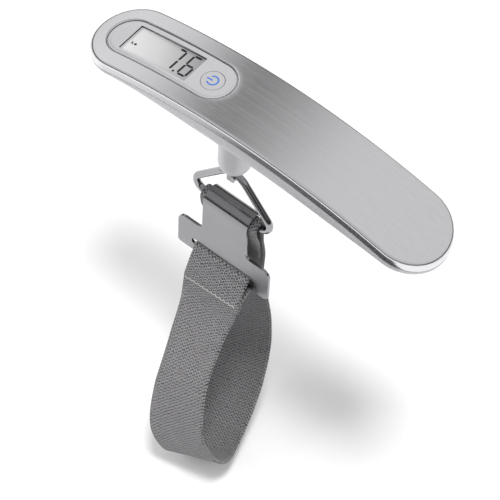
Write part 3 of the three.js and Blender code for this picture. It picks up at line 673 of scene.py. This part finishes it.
def unit_mark():
    """A tiny weight symbol at the display's left."""
    x, y = -58.1, -1.5
    stem = [(x, y), (x + 0.3, y), (x + 0.3, y + 1.3), (x, y + 1.3)]
    arm = [(x + 0.3, y + 0.5), (x + 0.9, y + 0.9), (x + 0.9, y + 0.6), (x + 0.3, y + 0.3)]
    leg = [(x + 0.4, y + 0.5), (x + 0.6, y + 0.5), (x + 1.0, y), (x + 0.7, y)]
    bowl = circle(x + 1.75, y + 0.55, 0.5, 12)
    return [stem, arm, leg, bowl]


def power_button():
    """A dished cap with a collar under the bezel and a relief over its switch."""
    collar, collar_top, underside, relief = BUTTON_RADIUS + 0.9, 2.15, 2.45, 2.25
    profile = [(0, 0.74), (1.5, 0.74), (2.8, 0.71), (3.4, 0.64), (3.7, 0.62), (3.9, 0.68), (4.02, 0.8),
               (BUTTON_RADIUS, 0.95), (BUTTON_RADIUS, collar_top), (collar, collar_top), (collar, underside),
               (2.2, underside), (2.0, relief), (0, relief)]
    return smooth(lathe("button_cap", profile, BEZEL, on_arch(BUTTON_X)), 50)


def power_symbol():
    """A power symbol printed on the button: its line points to the display."""
    opening, inner, outer, steps = math.radians(42), 1.62, 2.12, 40
    ring = []
    for radius, order in ((outer, range(steps + 1)), (inner, range(steps, -1, -1))):
        for i in order:
            angle = -math.pi + opening + (2 * math.pi - 2 * opening) * i / steps
            ring.append((radius * math.cos(angle), radius * math.sin(angle)))
    line = [(-2.35, -0.25), (-0.1, -0.25), (-0.1, 0.25), (-2.35, 0.25)]
    made = [flat_piece("power_symbol", shape, 0.68, 0.04, BLUE, on_arch(BUTTON_X)) for shape in (ring, line)]
    return join(made[0], made[1:])


def belly_layers(thickness):
    """Outlines down one side of the belly's wall, from its rim to the middle of the underside."""
    steps = 26
    layers = []
    for i in range(steps + 1):
        angle = i / steps * math.pi / 2
        reach = max(math.cos(angle), 0) ** (2 / BELLY_SQUARENESS)
        share = math.sin(angle) ** (2 / BELLY_SQUARENESS)
        width = HALF_WIDTH - GAP / 2 - thickness
        inset = HALF_WIDTH if i == steps else HALF_WIDTH - width * reach
        ring = []
        for x, y in round_ended(0, HALF_LENGTH, HALF_WIDTH, inset):
            rim = RIM_DEPTH + drop(x)
            ring.append((x, y, rim + (belly_depth(x) - thickness - rim) * share))
        layers.append(ring)
    return layers


def shell(name):
    points, faces = loft([*reversed(belly_layers(WALL)), *belly_layers(0)])
    return make(name, points, faces, SILVER)


def boss():
    """The boss runs smoothly out of the belly: each side starts on the belly's surface, along its slope."""
    around, flare_rows, neck_rows, dome_rows = 96, 14, 5, 14
    flare_along, flare_across, neck_below_belly = 17.0, 12.2, 6.5
    lift, nudge, leave, arrive, root = 0.015, 0.2, 1.25, 1.3, 3
    neck_depth = belly_depth(HOOK_X) + neck_below_belly
    rings = [[(HOOK_X, 0.0, belly_depth(HOOK_X) - root)] * around]
    for k in range(flare_rows + 1):
        t = k / flare_rows
        # Hermite weights of the start, the slope there, the end and the slope there.
        h00, h10 = 2 * t**3 - 3 * t**2 + 1, t**3 - 2 * t**2 + t
        h01, h11 = -2 * t**3 + 3 * t**2, t**3 - t**2
        ring = []
        for c, s in circle(0, 0, 1, around):
            reach = 1 / math.hypot(c / flare_along, s / flare_across)
            base, before = (belly_surface(HOOK_X + r * c, r * s) + lift for r in (reach, reach - nudge))
            slope = (before - base) / nudge
            span = reach - BOSS_RADIUS
            radius = reach * h00 - span * leave * h10 + BOSS_RADIUS * h01
            depth = (base * h00 + slope * span * leave * h10 + neck_depth * h01
                     + (neck_depth - base) * arrive * h11)
            ring.append((HOOK_X + radius * c, radius * s, depth))
        rings.append(ring)
    neck = DOME_CENTRE_DEPTH - neck_depth
    rows = [(BOSS_RADIUS, neck_depth + neck * i / neck_rows) for i in range(1, neck_rows + 1)]
    for i in range(1, dome_rows + 1):
        angle = i / dome_rows * math.pi / 2
        rows.append((BOSS_RADIUS * math.cos(angle), DOME_CENTRE_DEPTH + BOSS_RADIUS * math.sin(angle)))
    rings += [[(HOOK_X + x, y, depth) for x, y in circle(0, 0, radius, around)] for radius, depth in rows]
    points, faces = loft(rings)
    return make("boss", points, faces, SILVER)


def shank_slot():
    """The slot that the hook's flat shank passes through."""
    top, bottom, corner, steps = 10, 50, 0.05, 2
    outline = rounded_rectangle(HOOK_X, 0, HOOK_HALF_THICKNESS + GAP, HOOK_HALF_DEPTH + GAP, corner, steps)
    return prism("tool", outline, top, bottom)


def screw_well(x, y):
    wall, steps, sunk = 3, 40, 0.5
    top = belly_surface(x, y) - SCREW_HEAD_HEIGHT - sunk
    return prism("tool", circle(x, y, SCREW_HEAD_RADIUS + GAP, steps), top - wall, UNDER_ALL)


def door_prism(gap):
    """The room of the battery door, with a gap around it."""
    top, corner, steps = 12, 3, 8
    outline = rounded_rectangle(CELL_X, 0, DOOR_HALF_LENGTH + gap, DOOR_HALF_WIDTH + gap, corner, steps)
    return prism("tool", outline, top, UNDER_ALL)


def housing():
    body = shell("housing")
    wells = [screw_well(x, y) for x, y in SCREWS]
    boolean(body, [*wells, door_prism(GAP), shank_slot()])
    join(body, [boolean(boss(), [shank_slot()])])
    return smooth(body, 32)


def battery_door():
    body = shell("door")
    boolean(body, [door_prism(0)], "INTERSECT")
    half_width, half_length, corner, steps, sunk = 0.45, 4, 0.4, 4, 0.45
    grooves = []
    for x in (CELL_X + 6, CELL_X + 8, CELL_X + 10):
        outline = rounded_rectangle(x, 0, half_width, half_length, corner, steps)
        grooves.append(prism("tool", outline, belly_depth(x) - sunk, UNDER_ALL))
    boolean(body, grooves)
    return smooth(body, 32)


cover = steel_cover()
frame_lip = bezel()
digits = display_digits()
cap = power_button()
symbol = power_symbol()
belly = housing()
door = battery_door()
for piece, body, node_name in ((cover, "grip", "steel_cover"), (frame_lip, "grip", "display_bezel"),
                               (belly, "grip", "lower_housing"), (door, "battery_door", "battery_door"),
                               (cap, "power_button", "power_button")):
    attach(piece, body)
    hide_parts(node_name)
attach(digits, "grip")
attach(symbol, "power_button")


# ---------------------------------------------------------------- ring and buckle
def ring_path():
    """The ring's middle line: three arcs and the straight arms and bar between them, all tangent."""
    arc_points, line_points = 18, 14
    corner_x, corner_depth = RING_HALF_WIDTH - RING_CORNER, BAR_DEPTH - RING_CORNER
    fall = corner_depth - APEX_DEPTH - RING_APEX_RADIUS
    tangency = math.acos((RING_APEX_RADIUS - RING_CORNER) / math.hypot(corner_x, fall))
    arm = tangency - math.atan2(fall, corner_x)
    down = -math.pi / 2
    arcs = []
    for x, depth, radius, start, end in (
            (0, APEX_DEPTH + RING_APEX_RADIUS, RING_APEX_RADIUS, math.pi - arm, arm),
            (corner_x, corner_depth, RING_CORNER, arm, down),
            (-corner_x, corner_depth, RING_CORNER, down, -math.pi - arm)):
        angles = [start + (end - start) * i / arc_points for i in range(arc_points + 1)]
        arcs.append([Vector((HOOK_X + x + radius * math.cos(angle), 0, depth - radius * math.sin(angle)))
                     for angle in angles])
    points = []
    for here, following in zip(arcs, arcs[1:] + arcs[:1]):
        points += here + [here[-1].lerp(following[0], i / line_points) for i in range(1, line_points)]
    return points


def wire_ring():
    path, steps = ring_path(), 28
    back = Vector((0, 1, 0))
    rings = []
    for i, p in enumerate(path):
        along = (path[(i + 1) % len(path)] - path[i - 1]).normalized()
        out = along.cross(back)
        rings.append([tuple(p + out * x + back * y) for x, y in circle(0, 0, WIRE_RADIUS, steps)])
    points, faces = loft(rings, wrap=True)
    return smooth(make("ring", points, faces, CHROME), 60)


def arc(cx, cy, radius, start, end, steps):
    angles = [start + (end - start) * i / steps for i in range(steps + 1)]
    return [(cx + radius * math.cos(angle), cy + radius * math.sin(angle)) for angle in angles]


def plate_cut(top, columns):
    """The plate's flat, cut with its slot: points (x, -depth) and faces, its top edge in even columns."""
    t, w, b = TONGUE_HALF_WIDTH, WING_HALF_WIDTH, -PLATE_BOTTOM
    inner, outer, foot = 2.0, 3.5, 1.5
    shoulder = -SHOULDER_DEPTH
    right = arc(t + inner, shoulder + inner, inner, math.pi, 1.5 * math.pi, 8)
    right += arc(w - outer, shoulder - outer, outer, math.pi / 2, 0, 10)
    right += arc(w - foot, b + foot, foot, 0, -math.pi / 2, 6)
    outline = right + [(-x, y) for x, y in reversed(right)]
    outline += [(-t + 2 * t * i / columns, top) for i in range(columns + 1)]
    slot = rounded_rectangle(0, -SLOT_TOP - SLOT_HEIGHT / 2, SLOT_HALF_WIDTH, SLOT_HEIGHT / 2, 1.0, 5)
    verts, faces = filled(outline, slot)

    def in_slot(face):
        middle = sum((verts[i] for i in face), Vector((0, 0))) / len(face)
        return abs(middle.x) < SLOT_HALF_WIDTH and SLOT_TOP < -middle.y < SLOT_TOP + SLOT_HEIGHT

    return verts, [face for face in faces if not in_slot(face)]


def buckle_plate():
    """The plate is cut flat, with its slot, and its top is then rolled over the ring's bar."""
    top, columns, roll_steps = -BAR_DEPTH, 12, 30
    middle_radius = (ROLL_INNER + ROLL_OUTER) / 2
    roll_length = middle_radius * (math.pi - ROLL_END)
    verts, faces = plate_cut(top, columns)

    def row(height):
        return [Vector((TONGUE_HALF_WIDTH * (2 * k / columns - 1), height)) for k in range(columns + 1)]

    # The roll is an even grid above the flat part, so that it stays round.
    grid = [[min(range(len(verts)), key=lambda n: (verts[n] - place).length) for place in row(top)]]
    for i in range(1, roll_steps + 1):
        grid.append(list(range(len(verts), len(verts) + columns + 1)))
        verts += row(top + roll_length * i / roll_steps)
    for low, high in zip(grid, grid[1:]):
        faces += [[low[k], low[k + 1], high[k + 1], high[k]] for k in range(columns)]

    def bent(x, s, offset):
        """A point of the sheet, offset outwards from its middle surface, at s along the cut."""
        if s <= top:
            return (HOOK_X + x, -middle_radius - offset, -s)
        angle = (s - top) / middle_radius
        radius = middle_radius + offset
        return (HOOK_X + x, -radius * math.cos(angle), BAR_DEPTH - radius * math.sin(angle))

    sides = [bent(v.x, v.y, offset) for offset in (PLATE_THICKNESS / 2, -PLATE_THICKNESS / 2) for v in verts]
    body = make("plate", sides, sheet_body(faces, len(verts)), STAMPED)
    return flattened(bevel(body, 0.22, 3, 50), 40)


ring = wire_ring()
plate = buckle_plate()
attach(ring, "ring")
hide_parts("wire_ring")
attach(plate, "buckle")
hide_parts("buckle_plate")


# ---------------------------------------------------------------- webbing
def spline(points):
    """A centripetal Catmull-Rom curve through points, as the CAD's webbing follows."""
    steps = 24
    p = [np.array(q, float) for q in points]
    p = [2 * p[0] - p[1], *p, 2 * p[-1] - p[-2]]
    out = []
    for i in range(1, len(p) - 2):
        p0, p1, p2, p3 = p[i - 1:i + 3]
        d0, d1, d2 = (max(np.linalg.norm(b - a) ** 0.5, 1e-4) for a, b in ((p0, p1), (p1, p2), (p2, p3)))
        m1 = ((p1 - p0) / d0 - (p2 - p0) / (d0 + d1) + (p2 - p1) / d1) * d1
        m2 = ((p2 - p1) / d1 - (p3 - p1) / (d1 + d2) + (p3 - p2) / d2) * d1
        square, cube = -3 * p1 + 3 * p2 - 2 * m1 - m2, 2 * p1 - 2 * p2 + m1 + m2
        out += [p1 + m1 * t + square * t**2 + cube * t**3 for t in np.linspace(0, 1, steps, endpoint=False)]
    return np.array([*out, p[-2]])


def interpolated(places, known, table):
    """Each column of a table, known at some places, at other places."""
    return np.stack([np.interp(places, known, table[:, k]) for k in range(table.shape[1])], -1)


def resampled(points):
    """A curve at even steps, with its running length."""
    step = 0.9
    lengths = np.concatenate([[0], np.cumsum(np.linalg.norm(np.diff(points, axis=0), axis=1))])
    wanted = np.linspace(0, lengths[-1], round(lengths[-1] / step) + 1)
    return interpolated(wanted, lengths, points), wanted


def half_turn(y, depth, radius):
    """A half circle over a bar, from behind it to in front of it."""
    steps = 8
    angles = [i / steps * math.pi for i in range(steps + 1)]
    return [[0, y + radius * math.cos(angle), depth - radius * math.sin(angle)] for angle in angles]


def at_hook(points):
    return [[HOOK_X + x, y, depth] for x, y, depth in points]


def loop_points():
    """The strap's middle line: down the front leg, round the bottom, up behind and over the ring's bar."""
    return at_hook([
        [0, FOLD_END_Y - 0.3, FOLD_END + 2 * GAP], [0, -9.9, 104], [-0.2, -10.7, 109], [0, -12.8, 115],
        [1.8, -21.6, 126], [6, -34.5, 140], [10.6, -41, 157], [15.2, -37.9, 171.9], [15, -29.5, 180.4],
        [11.4, -15.4, 177.4], [7.4, -2.7, 169.5], [3.2, 6.3, 158], [0.2, 9.2, 143], [-1.6, 8.2, 128],
        [-2, 4.8, 106], [-0.3, 3.2, 86], [0, 1.9, 75],
        *half_turn(0, BAR_DEPTH, WEB_MIDDLE), [0, -1.9, 69.5], [0, 0.1, 76], [0, 0.9, 85]])


def fold_points():
    """The webbing's near end, up behind the plate's lower bar, through the slot and down in front of it."""
    middle, radius = (FRONT_Y + BACK_Y) / 2, (BACK_Y - FRONT_Y) / 2
    return at_hook([
        [0, BACK_Y - 1.2, FOLD_END + 0.2], [0, BACK_Y - 0.1, FOLD_END - 1.8],
        *half_turn(middle, SLOT_TOP + SLOT_HEIGHT + 0.1, radius),
        [0, FRONT_Y - 1.4, FOLD_END - 3], [0, FOLD_END_Y, FOLD_END]])


def tape_section():
    """The tape's cross-section as (across, out) points, and which of them are on its inner face."""
    half, thick, edge, flat, bend = WEB_WIDTH / 2, WEB_THICKNESS / 2, 0.55, 22, 5
    across = np.linspace(-half + edge, half - edge, flat)
    turns = np.linspace(0, math.pi, bend + 2)[1:-1]
    section = [(a, thick) for a in across]
    section += [(half - edge + edge * math.sin(k), thick * math.cos(k)) for k in turns]
    section += [(a, -thick) for a in across[::-1]]
    section += [(-half + edge - edge * math.sin(k), -thick * math.cos(k)) for k in turns]
    return section, range(flat + bend, 2 * flat + bend)


def tape(name, middles, widths, outs, travelled):
    """A woven tape swept along its middle line, with its weave's coordinates in millimetres."""
    section, inner = tape_section()
    count = len(section)
    rings = [[tuple(m + w * a + o * b) for a, b in section] for m, w, o in zip(middles, widths, outs)]
    points, faces = loft(rings)
    faces += [tuple(range(count))[::-1], tuple(len(points) - count + k for k in range(count))]
    mesh = mesh_from(name, points, faces)
    mesh.materials.append(WEB)
    mesh.materials.append(WEB_INNER_SHADE)
    layer = mesh.uv_layers.new(name="web")
    for polygon in mesh.polygons:
        places = [divmod(mesh.loops[corner].vertex_index, count) for corner in polygon.loop_indices]
        for corner, (row, k) in zip(polygon.loop_indices, places):
            layer.data[corner].uv = (section[k][0], travelled[row])
        # The inner face takes the darker copy of the webbing: painted shade.
        polygon.material_index = int(all(k in inner for _, k in places))
    with editing(mesh) as bm:
        bmesh.ops.recalc_face_normals(bm, faces=bm.faces)
    return smooth(placed(name, mesh), 70)


def framed(path, turns):
    """Width and outward directions along a path, for a (back, up) turn at each point."""
    along = np.gradient(path, axis=0)
    along /= np.linalg.norm(along, axis=1)[:, None]
    widths, outs = [], []
    for tangent, (backwards, upwards) in zip(along, turns):
        across = np.array([1, backwards, -upwards])
        across -= tangent * (across @ tangent)
        across /= np.linalg.norm(across)
        widths.append(across)
        outs.append(np.cross(across, tangent))
    return np.array(widths), np.array(outs)


def softened(turns):
    """The mean of each value with its neighbours along the strap."""
    reach = 12
    window = np.ones(2 * reach + 1) / (2 * reach + 1)
    padded = np.pad(turns, ((reach, reach), (0, 0)), "edge")
    return np.stack([np.convolve(padded[:, k], window, "valid") for k in (0, 1)], 1)


loop_path, loop_run = resampled(spline(loop_points()))
turn_table = np.array(LOOP_TURNS, float)
loop_turns = softened(interpolated(loop_run / loop_run[-1], turn_table[:, 0], turn_table[:, 1:]))
loop_widths, loop_outs = framed(loop_path, loop_turns)
front_end = next(i for i, p in enumerate(loop_path) if p[2] > FRONT_PIECE_END)


def sewn_end():
    """The webbing's doubled end, laid along the inner face of the front leg, from its tip upwards."""
    top, tip, spacing = 103.8, 109.5, 3
    inwards = WEB_THICKNESS + 0.2
    points = []
    for p, out in zip(loop_path[:front_end], loop_outs):
        if top < p[2] < tip:
            points.append(list(p + out * (inwards if out[1] > 0 else -inwards)))
    return points[::-1][::spacing]


def strap_front():
    """The bending part of the webbing: doubled end, fold through the slot and top of the front leg."""
    fold_length, margin = 22, 5
    spine = spline([*sewn_end(), *fold_points(), list(loop_path[1])])
    path, run = resampled(np.concatenate([spine[:-1], loop_path[1:front_end + 1]]))
    turns = np.zeros((len(path), 2))
    for i, p in enumerate(path):
        if run[i] > fold_length:
            nearest = int(np.argmin(np.linalg.norm(loop_path[:front_end + margin] - p, axis=1)))
            turns[i] = loop_turns[nearest]
    widths, outs = framed(path, turns)
    path[-1], widths[-1], outs[-1] = loop_path[front_end], loop_widths[front_end], loop_outs[front_end]
    return tape("webbing_front", path, widths, outs, run - run[-1] + loop_run[front_end])


def strap_loop():
    rest = slice(front_end, None)
    return tape("webbing_loop", loop_path[rest], loop_widths[rest], loop_outs[rest], loop_run[rest])


def on_front(across, run):
    """A point on the front leg's outer face and the outward direction there."""
    middle, width, out = (interpolated(run, loop_run, table) for table in (loop_path, loop_widths, loop_outs))
    outward = out / np.linalg.norm(out) * (-1 if out[1] > 0 else 1)
    return middle + width * across + outward * WEB_THICKNESS / 2, outward


def stitch(start, end, outward):
    """One stitch: a short thread that sinks into the webbing at both ends."""
    steps, sides, radius, height = 8, 10, 0.22, 0.12
    side = np.cross((end - start) / np.linalg.norm(end - start), outward)
    rings = []
    for i in range(steps + 1):
        swell = math.sin(math.pi * min(max(i / steps, 0.02), 0.98))
        centre = start + (end - start) * i / steps + outward * (0.02 + height * swell)
        ring = circle(0, 0, radius * (0.55 + 0.45 * swell), sides)
        rings.append([tuple(centre + side * x + outward * y) for x, y in ring])
    points, faces = loft(rings)
    faces += [tuple(range(sides)), tuple(len(points) - sides + q for q in range(sides))]
    return make("stitching", points, faces, THREAD)


def stitching():
    """A zigzag of thread across the front leg, which holds the folded end."""
    count, rise, coverage = 23, 0.5, 0.85
    first, last, margin = 7.0, 4.2, 1.1
    made = []
    for k in range(count):
        lift = rise if k % 2 else -rise
        ends = []
        for share, offset in ((k / count, lift), ((k + coverage) / count, -lift)):
            across = (share - 0.5) * (WEB_WIDTH - 2 * margin)
            ends.append(on_front(across, first + (last - first) * share + offset))
        (start, outward), (end, _) = ends
        made.append(stitch(start, end, outward))
    return smooth(join(made[0], made[1:]), 60)


front, back, thread = strap_front(), strap_loop(), stitching()
for piece in (front, thread):
    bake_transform(piece)
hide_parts("strap_fold", "strap_doubled_end")
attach(back, "strap")
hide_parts("strap_loop")


# ---------------------------------------------------------------- stage, light and camera
# Everything here is in metres, except the camera's distance and shifts, which are in mm.
def plane(name, size, location, material, normal=(0, 0, 1)):
    mesh = bpy.data.meshes.new(name)
    x, y = size[0] / 2, size[1] / 2
    mesh.from_pydata([(-x, -y, 0), (x, -y, 0), (x, y, 0), (-x, y, 0)], [], [(0, 1, 2, 3)])
    mesh.materials.append(material)
    obj = placed(name, mesh)
    obj.rotation_mode = "QUATERNION"
    obj.rotation_quaternion = Vector(normal).to_track_quat("Z", "Y")
    obj.location = location
    return obj


def seen_only_by(obj, kind):
    for each in ("camera", "glossy", "diffuse", "transmission", "shadow", "volume_scatter"):
        setattr(obj, "visible_" + each, each == kind)


def floor():
    gap = 0.002
    material, tree, bsdf = shader("floor", (0.93, 0.93, 0.935), 0.9)
    speck = ramp(tree, noise(tree, 0.02, 2.0), [(0.3, (0.925, 0.925, 0.93)), (0.7, (0.94, 0.94, 0.945))])
    tree.links.new(speck, bsdf.inputs["Base Color"])
    plane("floor", (6, 6), (0, 0, cad_box[0].z - gap), material)


def flag():
    """A card below the grip that only reflections see: pale at the display end, dark from the middle on."""
    length, depth, centre_x = 0.17, 0.07, -0.015
    material, tree, bsdf = shader("flag", (0.1, 0.1, 0.1), 0.9)
    x, _, _ = axes(tree, node(tree, "ShaderNodeNewGeometry").outputs["Position"])
    share = math_node(tree, "MULTIPLY_ADD", x, 1 / length, 0.5 - centre_x / length)
    tone = ramp(tree, share, [(0.0, 0.8), (0.33, 0.5), (0.45, 0.12), (0.9, 0.05)])
    tree.links.new(tone, bsdf.inputs["Base Color"])
    seen_only_by(plane("flag", (length, depth), (centre_x, -0.055, -0.055), material), "glossy")


def walls():
    """Pale walls far away, which only show behind the piece in low views."""
    glow = {"Emission_Color": (0.93, 0.93, 0.94, 1), "Emission_Strength": 1.0}
    material, _, _ = shader("wall", (0.02, 0.02, 0.02), 1.0, **glow)
    for x, y in ((1, 0), (-1, 0), (0, 1), (0, -1)):
        seen_only_by(plane("wall", (6, 6), (3 * x, 3 * y, 0), material, (-x, -y, 0)), "camera")


def light(name, location, target, size, power):
    """A square soft light that reflections don't show."""
    data = bpy.data.lights.new(name, "AREA")
    data.energy = power
    data.size = size
    obj = placed(name, data)
    obj.location = location
    obj.visible_glossy = False
    obj.rotation_mode = "QUATERNION"
    obj.rotation_quaternion = (Vector(location) - Vector(target)).to_track_quat("Z", "Y")


def surroundings():
    """A room in greys: a dark stretch left of the middle, an even front and a dark lower half."""
    world = bpy.data.worlds.new("studio")
    bpy.context.scene.world = world
    world.use_nodes = True
    tree = world.node_tree
    background = tree.nodes["Background"]
    direction = axes(tree, node(tree, "ShaderNodeTexCoord").outputs["Generated"])
    x, y, z = (math_node(tree, "MULTIPLY_ADD", part, 0.5, 0.5) for part in direction)
    sides = ramp(tree, x, [(0.0, 0.9), (0.12, 1.0), (0.19, 0.85), (0.275, 0.18), (0.34, 0.43), (0.43, 0.78),
                           (0.54, 0.76), (0.8, 0.75), (1.0, 0.7)])
    front = ramp(tree, y, [(0.3, 1.0), (0.55, 0.0)])
    low = ramp(tree, z, [(0.5, 0.04), (0.6, 0.08), (0.7, 1.0)])
    lit = node(tree, "ShaderNodeMix", data_type="RGBA", Factor=front, A=sides, B=(0.62, 0.62, 0.63, 1))
    mixed = node(tree, "ShaderNodeMix", data_type="RGBA", blend_type="MULTIPLY", Factor=1.0,
                 A=lit.outputs["Result"], B=low)
    tree.links.new(mixed.outputs["Result"], background.inputs["Color"])


def camera():
    azimuth, elevation, roll = math.radians(35.87), math.radians(56.27), math.radians(3.74)
    distance, shift_right, shift_up = 722.95, -6.171, -43.527
    back = Vector((math.sin(azimuth) * math.cos(elevation), -math.cos(azimuth) * math.cos(elevation),
                   math.sin(elevation)))
    right = Vector((math.cos(azimuth), math.sin(azimuth), 0))
    up = back.cross(right)
    x = right * math.cos(roll) + up * math.sin(roll)
    y = up * math.cos(roll) - right * math.sin(roll)
    location = (x * shift_right + y * shift_up + back * distance + Vector((0, 0, FACE_Z))) * MM
    data = bpy.data.cameras.new("camera")
    data.sensor_width = 36
    data.lens = 162.02664
    data.clip_start = 0.01
    data.clip_end = 20
    obj = placed("camera", data)
    obj.matrix_world = Matrix(((x.x, y.x, back.x, location.x), (x.y, y.y, back.y, location.y),
                               (x.z, y.z, back.z, location.z), (0, 0, 0, 1)))
    bpy.context.scene.camera = obj


floor()
flag()
walls()
surroundings()
light("overhead", (0.45, -0.4, 3.0), (0, 0, -0.1), size=0.55, power=62)
light("left_fill", (-1.6, -1.2, 1.2), (0, 0, -0.06), size=0.9, power=14)
camera()
bpy.context.scene.view_settings.view_transform = "Standard"
